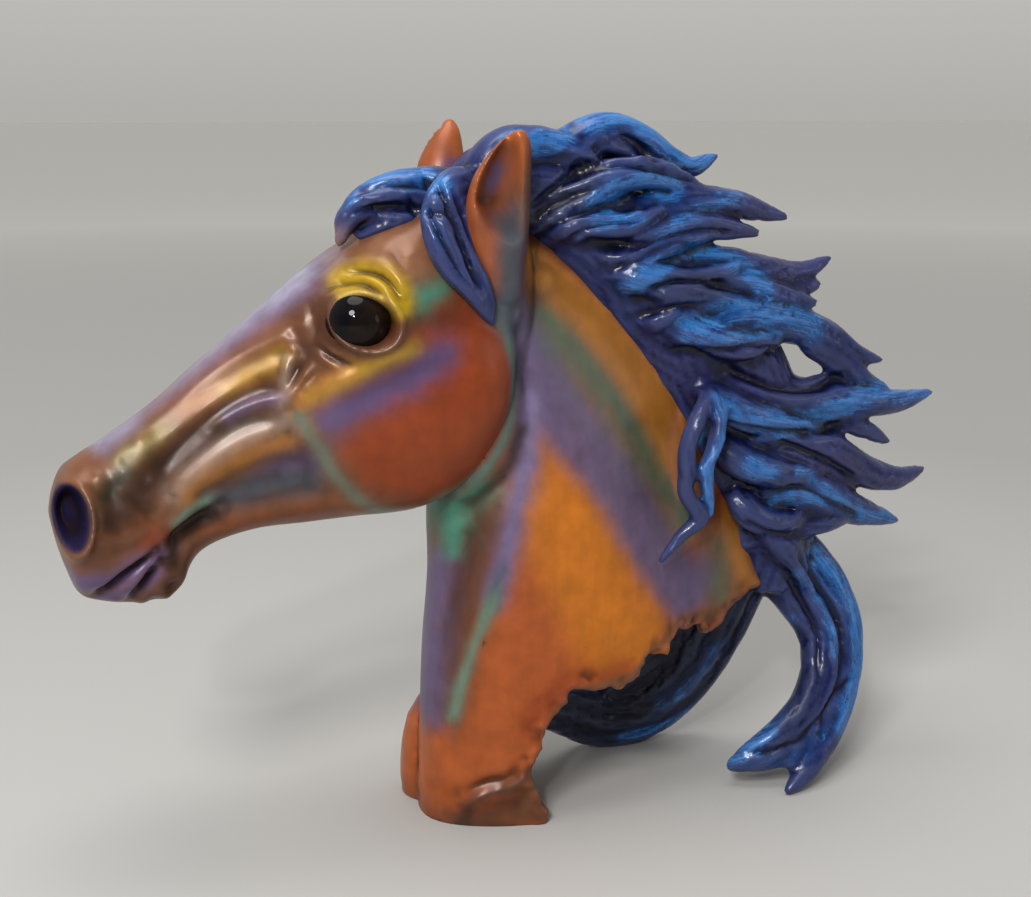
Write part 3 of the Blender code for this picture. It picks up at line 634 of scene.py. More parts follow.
def carve(obj):
    places, normals = skin_points(obj)
    places = drawn(relaxed(obj, places, JOINT_ROUNDS))
    side = places[:, [0, 2]]
    facing = smooth_step(np.abs(normals[:, 1]), *CARVE_FACING)
    rise = CARVE_DEPTH * worked(side, CARVING, CARVE_BREADTH) + lid_rise(side)
    cheek = oval_reach(side, CHEEK_DISC)
    rise += CHEEK_RISE * (1 - smooth_step(cheek, 1 - CHEEK_EDGE, 1 + CHEEK_EDGE))
    places += normals * (rise * facing + torn_grit(places))[:, None]
    places[:, 1] += nostril_flare(side, places[:, 1])
    places = placed(places)
    move_skin(obj, places)
    move_skin(obj, relaxed(obj, places, 2, LAST_TOUCH))


carve(hide)
thinned(hide, HIDE_FACETS)
sliced_on_floor(hide)
eye_near = ball("eye_near", (EYE_PLACE[0], -EYE_PLACE[1], EYE_PLACE[2]), (EYE_RADIUS,) * 3)
eye_far = ball("eye_far", EYE_PLACE, (EYE_RADIUS,) * 3)
print("hide carved:", len(hide.data.polygons), "faces")

# %% [markdown]
# ## The mane: each lock follows its own spine
#
# A lock of this mane is a tapered, fluted ribbon that follows a curve. That is a rule, so Geometry
# Nodes make the locks: a thin mesh holds one chain of points for each lock, with its widths and
# directions as attributes, and the tree sweeps a ring along each chain and shapes the sweep from
# those attributes. The same tree makes the mass of hair behind the crest, with no flutes. Where two
# locks meet at a shallow notch, a short low lock, here called a web or a lip, fills it.

# %% Spines of the locks: half width, half thickness, then points (x, y, z) from root to tip
LOCKS = {
    "crown": (3.0, 3.4, ((-6.4, -2, 88), (-5.2, -3, 93), (-1.6, -3, 95.6), (4, -3, 95.4),
        (9, -4, 93.4), (13, -4, 90))),
    "top": (3.4, 3.2, ((2.5, -1, 88), (6.2, -2, 94), (11.6, -2, 96.9), (17, -2, 96),
        (21.4, -2, 93.4), (25.4, -2, 92.4), (29.4, -2, 94))),
    "top_near": (2.8, 2.6, ((4, -5, 86), (9.6, -6, 90.4), (15.6, -6, 92), (21.4, -5, 91),
        (27, -4, 89))),
    "second": (3.2, 3.0, ((9, -3, 81), (15, -4, 85.4), (23, -4, 87.3), (31, -3, 87.2),
        (37.4, -2, 85.8), (41, -2, 85))),
    "second_near": (2.6, 2.6, ((11, -6, 79), (17, -7, 82.8), (25, -6, 84.2), (31, -5, 83.8),
        (35.4, -4, 83))),
    "third": (3.4, 3.0, ((15, -3, 75), (21.5, -4, 78.6), (29.4, -4, 78.6), (37.2, -3, 77.3),
        (43.6, -2, 77), (48.6, -2, 79))),
    "third_near": (3.0, 2.6, ((17, -7, 71), (23.2, -7, 75.4), (31.6, -6, 75.2), (39.4, -5, 73.8),
        (45.4, -4, 72.6))),
    "third_web": (2.4, 2, ((34, -4, 74), (39, -3.4, 74.6), (43, -2.8, 74.8), (46.8, -2.4, 75.2))),
    "fourth": (3.4, 2.8, ((22, -5, 67.6), (28.5, -6, 71.6), (37.2, -5, 70.8), (46.6, -3, 68.2),
        (53.6, -2, 64.4), (59, -1, 63))),
    "fourth_web": (2.6, 2.0, ((42, -4, 69), (47.4, -3.2, 65.6), (51.6, -2.6, 62.8), (56, -2, 60),
        (60, -1.6, 58.6))),
    "hole_lip": (2.0, 1.8, ((38, -3.6, 60.2), (42.4, -3.2, 59.8), (47, -2.8, 60.4),
        (51.4, -2.4, 61.4))),
    "fifth": (3.4, 2.8, ((26, -4, 59), (34.4, -5, 59.2), (43.2, -4, 57.8), (52.4, -3, 57.4),
        (61, -2, 56.6), (69.2, 0, 57.2))),
    "hook": (2, 2, ((43, -4, 57), (50.8, -3, 54.6), (55.8, -3, 52.6), (60.4, -2, 50.2))),
    "sixth": (3.8, 2.8, ((29, -4, 52.6), (37.8, -5, 53.6), (46.4, -5, 51), (54.8, -3, 46.6),
        (62, -2, 44.4), (68.6, 0, 45))),
    "seventh": (3.6, 2.8, ((32, -3, 45), (39.8, -5, 46.4), (46.8, -5, 44), (54.6, -3, 40.2),
        (63.6, -1, 37.1))),
    "lowest": (3, 2.4, ((34, -3, 37), (40.8, -4, 39), (47, -5, 39.8), (53.4, -4, 39.4))),
    "near_poll": (2.4, 2.2, ((2, -5, 86), (7, -7.4, 84.8), (13, -8, 85), (19, -7.2, 87))),
    "near_high": (2.6, 2.2, ((11, -6.4, 79.4), (17, -8.2, 77.4), (24, -8.2, 77), (31, -6.8, 79))),
    "near_mid": (2.6, 2.2, ((19, -6, 72), (25, -8.2, 69.4), (31, -8, 67.6), (38, -6.4, 67.6))),
    "near_low": (2.6, 2.2, ((25, -6, 62), (31, -8, 58), (38, -7.6, 55.6), (46, -5.6, 54))),
    "near_lower": (2.6, 2.2, ((28, -6, 53.6), (33, -7.6, 50), (40, -7.2, 48.2), (48, -5.4, 48))),
    "near_base": (2.4, 2.2, ((31, -6, 45.6), (34.6, -7.2, 42), (39.4, -6.6, 40.6), (46, -5, 42))),
    "near_fall": (2.6, 2.2, ((36, -5, 44), (39.4, -5.8, 38), (43.4, -5, 33), (47, -4.4, 28))),
    "far_fourth": (3.2, 2.8, ((20, 5, 64), (28, 6, 68), (37, 5, 69), (46, 4, 67.4), (54, 2, 64))),
    "forelock": (3.5, 3.4, ((-5, -1, 88), (-10.6, -2, 89.6), (-16, -3, 89.9), (-20.8, -3.2, 88.9),
        (-24, -3.2, 86.6), (-25.4, -3, 83))),
    "forelock_under": (2.9, 3.4, ((-7, -2, 85), (-13.4, -3, 86.6), (-18.6, -3.4, 86.2),
        (-23, -3.2, 84))),
    "temple_lock": (2.7, 2.3, ((-6.6, -4, 91), (-11.6, -8, 90.4), (-14.4, -10.6, 86.6),
        (-13.4, -11.8, 81.8), (-10.4, -12.4, 77.6), (-7.2, -12, 73.2))),
    "temple_strand": (1.9, 1.8, ((-8.4, -6, 90), (-11, -9.4, 87), (-11, -11.2, 82.6),
        (-9, -11.8, 78.6), (-7, -11.6, 75))),
    "curl": (1.4, 1.6, ((26, -8, 62), (26.6, -10.4, 57.4), (25.6, -11, 54), (24.3, -11.2, 51.2),
        (24.6, -11.2, 48), (25.2, -10.8, 44.8), (24, -10.8, 43))),
    "curl_left": (1.5, 1.6, ((25.4, -8, 61.4), (23.2, -10.6, 58.6), (21.6, -11, 55),
        (21.2, -11.2, 51), (21.2, -11.2, 48), (22.8, -11.3, 45.4), (23.6, -11.3, 43.8),
        (21.6, -11.2, 42.4), (19.7, -11.1, 40.6), (17.6, -11, 38))),
}
FAR_LOCKS = ("crown", "top", "second", "third", "fifth", "sixth", "forelock")
FAR_MIRROR = 1.1
FAR_REACH = 0.88
FAR_DROP = 1.6

# Locks that carry the casting: half width, half thickness, turn of the flat in degrees, points
STAND_LOCKS = {
    "stand_lock": (4.7, 3.0, 15, ((39, 0, 42), (42.6, -1, 33), (46.4, -2, 27.4), (49.4, -4, 22.4),
        (49.2, -6, 16.8), (46.4, -8, 12), (41.8, -9.6, 8.6), (36.4, -9.8, 6), (30.6, -8.4, 3.6))),
    "stand_edge": (2.6, 2.7, 15, ((42, 0, 41), (46.8, -0.6, 35), (51, -2, 29.2), (53, -4, 22.6),
        (52, -6.2, 15.4), (48.4, -9, 9.2), (42.8, -12.4, 4), (37.4, -14.5, 1))),
    "stand_web": (2.4, 2.0, 0, ((51, -5, 20), (48.6, -7.6, 14.4), (45, -9.6, 9.6),
        (41.4, -11.4, 5.8), (38.6, -12.2, 4))),
    "dark_inner": (3.3, 2.5, 0, ((35, 1, 40), (35, 1.6, 34), (33.4, 3.6, 27), (30.4, 6.4, 20.6),
        (26.6, 9.2, 15.4), (22, 10.6, 11.8), (17, 10.8, 9.6))),
    "dark_lock": (5.2, 2.9, 0, ((37.6, 0, 42), (38.2, 1, 34), (36.6, 2.4, 27.2), (34.6, 4.4, 20.4),
        (32.4, 7, 14), (29.2, 9.4, 8.8), (24.6, 11.1, 5.5), (18.2, 11.2, 5.6), (11.5, 9, 9),
        (5.4, 5.6, 12), (-1, 2, 15))),
}
MANE_BODY = (
    (-6.4, 0, 88.6, 4, 5.6),
    (2.4, 0, 88.4, 5.8, 6.8),
    (11.4, 0, 83.6, 8.2, 7.2),
    (20.6, 0, 75.4, 9.8, 7.2),
    (28.6, 0, 66, 10.6, 7),
    (34.6, 0, 55.6, 10.8, 6.6),
    (39.2, 0, 45, 9, 6.2),
    (41.4, 0, 36, 6.6, 5.6),
    (42.4, 0, 29, 4.4, 4.4),
)
print(len(LOCKS) + len(FAR_LOCKS) + len(STAND_LOCKS), "locks and one mass of hair")

# %% Chains of points with their widths and directions
LOCK_STEPS = 12
LOCK_TIP = 0.35
LOCK_TAPER = 2.4
STAND_TIP = 0.6
STAND_TAPER = 6.0
TAPER_ROUND = 0.8
ROOT_SHARE = 0.5
ROOT_RUN = 0.2


def along_path(path):
    """Each point of a path, which way the path runs there, and how far along it lies."""
    runs = [step / np.linalg.norm(step) for step in np.gradient(path, axis=0)]
    lengths = np.cumsum(np.linalg.norm(np.diff(path, axis=0), axis=1))
    return zip(path, runs, np.concatenate([[0], lengths]))


def lock_chain(half_width, half_thickness, turn, points, tip, taper_power):
    """Rows of a lock: place, wide and thick directions, half sizes and how far along it is."""
    steps = list(along_path(through(points, LOCK_STEPS)))
    rows = []
    for place, run, length in steps:
        t = length / steps[-1][2]
        flat = np.cross(run, (0, 1, 0))
        flat /= np.linalg.norm(flat)
        deep = np.cross(run, flat)
        angle = math.radians(turn) * t
        wide = flat * math.cos(angle) + deep * math.sin(angle)
        thick = deep * math.cos(angle) - flat * math.sin(angle)
        taper = (1 - t**taper_power) ** TAPER_ROUND
        taper *= ROOT_SHARE + (1 - ROOT_SHARE) * float(smooth_step(t, 0, ROOT_RUN))
        half_w = tip + (half_width - tip) * taper
        half_t = tip + (half_thickness - tip) * taper
        rows.append((place, wide, thick, half_w, half_t, length))
    return rows


def far_points(points):
    """The right side's counterpart of a lock on the left."""
    spine = np.array(points, dtype=float)
    spine[:, 1] = 2 * FAR_MIRROR - spine[:, 1]
    spine = spine[0] + (spine - spine[0]) * FAR_REACH
    spine[:, 2] -= FAR_DROP
    return spine


def body_chain():
    rows = through(MANE_BODY, LOCK_STEPS)
    side = np.array((0.0, 1.0, 0.0))
    return [
        (place, np.cross(run, (0, 1, 0)), side, row[3], row[4], length)
        for row, (place, run, length) in zip(rows, along_path(rows[:, :3]))
    ]


LOCK_LAYERS = (
    ("wide", "FLOAT_VECTOR"),
    ("thick", "FLOAT_VECTOR"),
    ("half_width", "FLOAT"),
    ("half_thickness", "FLOAT"),
    ("along", "FLOAT"),
    ("lock", "FLOAT"),
)


def chains_object(name, chains):
    """A mesh of bare chains, one for each lock, that holds what the node tree needs."""
    places, edges, table = [], [], []
    for number, chain in enumerate(chains):
        start = len(places)
        edges.extend((start + i, start + i + 1) for i in range(len(chain) - 1))
        for place, wide, thick, half_w, half_t, along in chain:
            places.append(place)
            table.append((wide, thick, half_w * U, half_t * U, along, number))
    data = bpy.data.meshes.new(name)
    spots = placed(places)
    data.from_pydata([tuple(p) for p in spots], edges, [])
    obj = bpy.data.objects.new(name, data)
    bpy.context.scene.collection.objects.link(obj)
    store(obj, "spine", "FLOAT_VECTOR", spots)
    for (layer, kind), column in zip(LOCK_LAYERS, zip(*table)):
        store(obj, layer, kind, column)
    return obj


flying = list(LOCKS.values())
flying += [(w, t, far_points(p)) for w, t, p in (LOCKS[name] for name in FAR_LOCKS)]
hair_chains = [lock_chain(w, t, 0, p, LOCK_TIP, LOCK_TAPER) for w, t, p in flying]
hair_chains += [lock_chain(*row, STAND_TIP, STAND_TAPER) for row in STAND_LOCKS.values()]
locks = chains_object("lock_spines", hair_chains)
mass = chains_object("mass_spine", [body_chain()])
print("spine points:", len(locks.data.vertices) + len(mass.data.vertices))

# %% The node tree that sweeps and flutes a lock
SWEEP_INPUTS = (
    ("Sides", "NodeSocketInt", 36),
    ("Flutes", "NodeSocketFloat", 3.0),
    ("Flute Depth", "NodeSocketFloat", 0.17),
    ("Squareness", "NodeSocketFloat", 1.0),
    ("Seed", "NodeSocketInt", 11),
    ("Finish", "NodeSocketMaterial", None),
)
SWEEP_RADIUS = 0.001
FLUTE_PHASE = 0.7


def sweep_tree():
    tree = bpy.data.node_groups.new("Sweep of a lock", "GeometryNodeTree")
    face = tree.interface
    face.new_socket("Geometry", in_out="INPUT", socket_type="NodeSocketGeometry")
    for name, kind, value in SWEEP_INPUTS:
        socket = face.new_socket(name, in_out="INPUT", socket_type=kind)
        if value is not None:
            socket.default_value = value
    face.new_socket("Geometry", in_out="OUTPUT", socket_type="NodeSocketGeometry")
    given = tree.nodes.new("NodeGroupInput").outputs

    def read(name, kind="FLOAT"):
        node = made(tree, "GeometryNodeInputNamedAttribute", {"Name": name}, data_type=kind)
        return node.outputs["Attribute"]

    def kept(geometry, name, value):
        values = {"Geometry": geometry, "Name": name, "Value": value}
        kind = "GeometryNodeStoreNamedAttribute"
        return made(tree, kind, values, data_type="FLOAT", domain="POINT").outputs["Geometry"]

    def reckon(operation, *values):
        return made(tree, "ShaderNodeMath", dict(enumerate(values)), operation=operation).outputs[0]

    def stretched(vector, factor):
        values = {0: vector, "Scale": factor}
        return made(tree, "ShaderNodeVectorMath", values, operation="SCALE").outputs[0]

    def summed(first, second):
        values = {0: first, 1: second}
        return made(tree, "ShaderNodeVectorMath", values, operation="ADD").outputs[0]

    # A ring with its turn as an attribute is swept along every chain.
    curve = made(tree, "GeometryNodeMeshToCurve", {"Mesh": given["Geometry"]}).outputs["Curve"]
    circle = {"Radius": SWEEP_RADIUS, "Resolution": given["Sides"]}
    ring = made(tree, "GeometryNodeCurvePrimitiveCircle", circle).outputs["Curve"]
    profile = kept(ring, "round", made(tree, "GeometryNodeSplineParameter").outputs["Factor"])
    swept_ring = {"Curve": curve, "Profile Curve": profile, "Fill Caps": True}
    sweep = made(tree, "GeometryNodeCurveToMesh", swept_ring).outputs["Mesh"]

    # Each point then goes to its own place: out by the width across, and by the fluted thickness.
    angle = reckon("MULTIPLY", read("round"), 2 * math.pi)
    cosine = reckon("COSINE", angle)
    power = reckon("POWER", reckon("ABSOLUTE", cosine), given["Squareness"])
    across = reckon("MULTIPLY", reckon("SIGN", cosine), power)
    phase = made(tree, "FunctionNodeRandomValue", data_type="FLOAT")
    plug(tree, phase, {2: -FLUTE_PHASE, 3: FLUTE_PHASE, "ID": read("lock"), "Seed": given["Seed"]})
    waves = reckon("MULTIPLY", reckon("MULTIPLY", across, given["Flutes"]), math.pi)
    wave = reckon("COSINE", reckon("ADD", waves, phase.outputs[1]))
    fluted = reckon("ADD", 1.0, reckon("MULTIPLY", wave, given["Flute Depth"]))
    out = reckon("MULTIPLY", reckon("SINE", angle), fluted)
    span = reckon("MULTIPLY", across, read("half_width"))
    depth = reckon("MULTIPLY", out, read("half_thickness"))
    wide = stretched(read("wide", "FLOAT_VECTOR"), span)
    thick = stretched(read("thick", "FLOAT_VECTOR"), depth)
    place = summed(read("spine", "FLOAT_VECTOR"), summed(wide, thick))
    moved = {"Geometry": kept(sweep, "across", span), "Position": place}
    shape = made(tree, "GeometryNodeSetPosition", moved).outputs["Geometry"]

    real = made(tree, "GeometryNodeRealizeInstances", {"Geometry": shape}).outputs["Geometry"]
    painted_as = {"Geometry": real, "Material": given["Finish"]}
    finish = made(tree, "GeometryNodeSetMaterial", painted_as).outputs["Geometry"]
    plug(tree, tree.nodes.new("NodeGroupOutput"), {"Geometry": finish})
    return tree


def swept(obj, tree, finish, **sizes):
    """Runs the tree on a mesh of chains and leaves a plain closed mesh."""
    grow = obj.modifiers.new("Sweep", "NODES")
    grow.node_group = tree
    names = {s.name: s.identifier for s in tree.interface.items_tree if s.in_out == "INPUT"}
    for name, value in sizes.items():
        grow[names[name]] = value
    grow[names["Finish"]] = finish
    bpy.context.view_layer.update()
    obj.data = baked(obj)
    obj.modifiers.clear()
    mesh = bmesh.new()
    mesh.from_mesh(obj.data)
    bmesh.ops.recalc_face_normals(mesh, faces=mesh.faces)
    mesh.to_mesh(obj.data)
    mesh.free()
    return obj


tree = sweep_tree()
mane_paint = bpy.data.materials.new("painted_mane")
swept(locks, tree, mane_paint)
swept(mass, tree, mane_paint, **{"Sides": 72, "Flute Depth": 0.0, "Squareness": 0.7})
print("swept locks:", len(locks.data.polygons), "faces")

# %% [markdown]
# ## One skin of hair, with its strands
#
# On the casting the locks melt into each other, with valleys where they meet. So the sweeps are
# fused, and each point of the new skin asks the nearest sweep which lock it is on, how far along
# and how far across. Those three numbers cut fine strands that run with the hair, and later guide
# the dry brush. A few deep valleys are then drawn in on the near side.

# %% Fusing the locks, and the strand numbers of each point
MANE_GRAIN = 0.0008
LAYER_SHIFT = 100.0


def read_layer(obj, name):
    values = np.empty(len(obj.data.vertices), dtype=np.float32)
    obj.data.attributes[name].data.foreach_get("value", values)
    return values.astype(float)


def strand_guide(parts):
    """Places of all sweeps with their lock, along and across, in units of the drawing."""
    rows = []
    for shift, part in enumerate(parts):
        spots, _ = skin_points(part)
        lock = read_layer(part, "lock") + LAYER_SHIFT * shift
        along, across = read_layer(part, "along"), read_layer(part, "across") / U
        rows.append(np.column_stack([spots, lock, along, across]))
    table = np.vstack(rows)
    tree_of_points = kdtree.KDTree(len(table))
    for i, row in enumerate(table):
        tree_of_points.insert(row[:3], i)
    tree_of_points.balance()
    return table, tree_of_points


guide_table, guide_points = strand_guide([locks, mass])
mane = fused("painted_mane", [locks, mass], MANE_GRAIN)
print("mane fused:", len(mane.data.polygons), "faces")

# %% Strands and valleys
VALLEYS = (
    ("lens", 1, -1.1, ((12.2, 97.2), (15, 96.3), (17.4, 94.4), (18.6, 92.8))),
    ("lens fold", 0.6, 0.5, ((11, 95.4), (14.6, 94.4), (17.6, 92.4))),
    ("under top", 0.7, -1, ((-0.3, 87.5), (5.6, 91.6), (11.9, 93.4), (20.9, 91.2), (25, 91))),
    ("hollow", 0.8, -1, ((-0.1, 85.4), (3.6, 88.4), (8.9, 90.2))),
    ("fan one", 0.5, -0.6, ((1, 83), (4, 86.2), (10.6, 87.9))),
    ("fan two", 0.5, -0.6, ((3.6, 82), (7, 85), (14.3, 85.7))),
    ("second", 0.8, -1.1, ((5.8, 83), (13.2, 82.3), (17.3, 82.9), (23.9, 84), (30, 83.2))),
    ("second ridge", 0.8, 0.5, ((9, 80.8), (15.4, 80.6), (22, 82))),
    ("third top", 0.6, -0.7, ((10.1, 79), (16.4, 81.2), (22.8, 82.6))),
    ("third", 0.9, -1.3, ((15, 75.6), (20.1, 77.6), (25.2, 77), (33.9, 74.5))),
    ("fourth top", 0.6, -0.8, ((14.6, 72.2), (19.2, 73.6), (24, 73.8))),
    ("fourth", 0.7, -1, ((20.2, 67.6), (27.7, 67.1), (32.2, 67.9), (38.4, 66))),
    ("under hole", 0.7, -1, ((29, 64.4), (37.1, 61.3), (44.6, 60.2), (51, 61.6))),
    ("hole lip", 0.7, 0.6, ((30, 62.4), (37.6, 59.6), (45, 58.9))),
    ("fifth", 0.7, -1.1, ((27.2, 56.6), (35.9, 54.9), (44.1, 54.2), (51.4, 54.3))),
    ("sixth", 0.6, -0.9, ((37, 53.6), (45, 50.2), (53, 45.8))),
    ("seventh", 0.6, -0.8, ((37.1, 45.6), (42.1, 45.9), (48.7, 42.5), (55, 39.4))),
    ("base", 0.7, -0.8, ((31.6, 42.2), (36.5, 39.5), (42.9, 38.3))),
    ("forelock low", 0.6, -0.8, ((-24.4, 87.6), (-18.6, 88), (-12.4, 87.4))),
    ("forelock high", 0.5, -0.6, ((-24.6, 89.8), (-19, 90.8), (-12.6, 90.2))),
    ("stand groove", 0.6, -0.8, ((42, 36), (47.4, 29.6), (50.4, 22.8), (49, 15.6), (44, 9))),
    ("stand twist", 0.6, -0.7, ((51.6, 16), (46.6, 12.4), (40, 8), (33.6, 6.4))),
    ("temple one", 0.45, -0.9, ((-14.8, 92.6), (-13.4, 89), (-12.1, 85.4), (-10.8, 81),
        (-9.4, 77.6))),
    ("temple two", 0.4, -0.7, ((-16.8, 89.6), (-15.4, 86), (-13.2, 81.6), (-11.4, 78.8))),
    ("temple three", 0.35, -0.5, ((-12.6, 91), (-11.2, 87), (-10, 83))),
    ("stand inner", 0.5, -0.6, ((40.6, 33.6), (44.6, 27.4), (46.6, 21.6), (45.6, 15.8))),
)
STRANDS = ((1.7, 0.17), (0.8, 0.08))
MELT_ROUNDS = 14
MELT = (0.6, -0.64)
MASS_ROUNDS = 26
MASS_END = (0.45, 0.75)
STAND_SHARE = 0.55
STRAND_BEND = 0.9
VALLEY_FACING = (0.05, 0.5)


def nearest_strand(places):
    found = np.array([guide_points.find(p)[1] for p in places])
    return guide_table[found, 3:]


def strand_rise(numbers):
    """Rounded strands with sharp valleys between them, which wander a little on their way."""
    lock, along, across = numbers.T
    rise = np.zeros(len(numbers))
    for pitch, depth in STRANDS:
        wander = STRAND_BEND * np.sin(0.21 * along + 2.4 * lock) + 0.37 * lock
        rise += depth * (np.abs(np.sin(np.pi * (across / pitch + wander))) ** 0.7 - 0.6)
    return rise


def mass_share(numbers):
    """One where the locks melt into each other, down to nothing at their free tips."""
    lock, along, _ = numbers.T
    names = np.unique(lock)
    lengths = np.array([along[lock == name].max() for name in names])
    run = along / lengths[np.searchsorted(names, lock)]
    share = 1 - smooth_step(run, *MASS_END)
    stands = (lock >= len(hair_chains) - len(STAND_LOCKS)) & (lock < LAYER_SHIFT)
    return np.where(stands, STAND_SHARE, share)


def melted(obj, places, rounds):
    """Evens out what is small and leaves the long forms: each pull inward is undone by a push."""
    for _ in range(rounds):
        for share in MELT:
            places = relaxed(obj, places, 1, share)
    return places


def comb(obj):
    """Cuts strands and valleys into the hair."""
    places, _ = skin_points(obj)
    share = mass_share(nearest_strand(places))[:, None]
    for _ in range(MASS_ROUNDS):
        places = places + share * (relaxed(obj, places, 1) - places)
    move_skin(obj, melted(obj, places, MELT_ROUNDS))
    places, normals = skin_points(obj)
    rise = strand_rise(nearest_strand(places))
    flat = drawn(places)
    near = smooth_step(-normals[:, 1], *VALLEY_FACING) * (flat[:, 1] < 0.5)
    rise += worked(flat[:, [0, 2]], VALLEYS) * near
    places = places + normals * (rise * U)[:, None]
    move_skin(obj, relaxed(obj, places, 1, LAST_TOUCH))


MANE_FACETS = 190000
comb(mane)
thinned(mane, MANE_FACETS)
sliced_on_floor(mane)
strand_numbers = nearest_strand(skin_points(mane)[0])
store(mane, "strand", "FLOAT_VECTOR", strand_numbers[:, [2, 1, 0]])
print("mane combed:", len(mane.data.polygons), "faces")

# %% [markdown]
# ## Paint
#
# The painter laid a copper-brown ground, then soft airbrushed areas over it. Here each area is a
# stroke:
# a colour, how strong, how wide, and its line in side view. A few strokes are painted shade in
# creases and hollows, and a few are painted highlights on ridges. A little noise frays the stroke's
# edge. The result is kept as a colour on each point, and the material adds the brush marks, painted
# shade in the grooves and a painted highlight on the crests. Grooves and crests are found by how far
# a point lies below or above the mean of the skin around it.

# %% Strokes of paint, and where the skin is hollow
SOFT_BELOW = 3.6
SOFT_FALL = 0.9
BROAD_EDGE = (0.45, 1.35)
HOLLOW_SCALES = ((10, 0.00022), (40, 0.00055))


def painted(places, ground, strokes, fray):
    """The colour at each place, after soft strokes on a ground colour."""
    side = places[:, [0, 2]]
    colour = np.tile(np.array(ground, dtype=float), (len(places), 1))
    edge = fray * noise_at(places, 0.35, 3.1) + 0.5 * fray * noise_at(places, 1.2, 9.7)
    for paint, strength, half_width, line in strokes:
        steps = CARVE_STEPS if len(line) > 2 else 1
        gap = line_distance(side, through(line, steps)) + edge * min(1.0, half_width / 2)
        if half_width < SOFT_BELOW:
            cover = strength * np.exp(-SOFT_FALL * (np.maximum(gap, 0) / half_width) ** 2)
        else:
            start, end = (share * half_width for share in BROAD_EDGE)
            cover = strength * (1 - smooth_step(gap, start, end))
        colour += (np.array(paint) - colour) * cover[:, None]
    return colour


def hollowness(obj):
    """Grooves and crests of the skin, each from 0 to 1."""
    places, normals = skin_points(obj)
    depth = np.zeros(len(places))
    for rounds, scale in HOLLOW_SCALES:
        sunk = ((relaxed(obj, places, rounds) - places) * normals).sum(axis=1)
        depth += 0.5 * sunk / scale
    return np.clip(depth, 0, 1), np.clip(-depth, 0, 1)


COPPER = (0.19, 0.078, 0.036)
BROWN = (0.090, 0.034, 0.018)
SHADE_BROWN = (0.036, 0.015, 0.009)
RED_BROWN = (0.17, 0.042, 0.018)
TERRACOTTA = (0.28, 0.054, 0.010)
ORANGE = (0.40, 0.105, 0.024)
GOLD = (0.53, 0.178, 0.013)
OCHRE = (0.42, 0.180, 0.030)
YELLOW = (0.44, 0.29, 0.010)
PALE_YELLOW = (0.46, 0.32, 0.07)
LIME = (0.17, 0.118, 0.008)
GREEN = (0.034, 0.042, 0.020)
TEAL = (0.075, 0.26, 0.19)
PALE_TEAL = (0.16, 0.25, 0.19)
RIM_TEAL = (0.13, 0.20, 0.17)
GREY_GREEN = (0.105, 0.135, 0.090)
VIOLET = (0.125, 0.090, 0.215)
PALE_VIOLET = (0.20, 0.165, 0.30)
RIDGE_HIGHLIGHT_GREY = (0.40, 0.41, 0.50)
RIM_GREY = (0.165, 0.175, 0.130)
SLATE = (0.085, 0.105, 0.135)
MAUVE = (0.140, 0.108, 0.205)
SILVER_HIGHLIGHT = (0.44, 0.36, 0.31)
TAN = (0.31, 0.155, 0.085)
COPPER_EDGE = (0.48, 0.19, 0.085)
JAW_COPPER = (0.23, 0.075, 0.028)

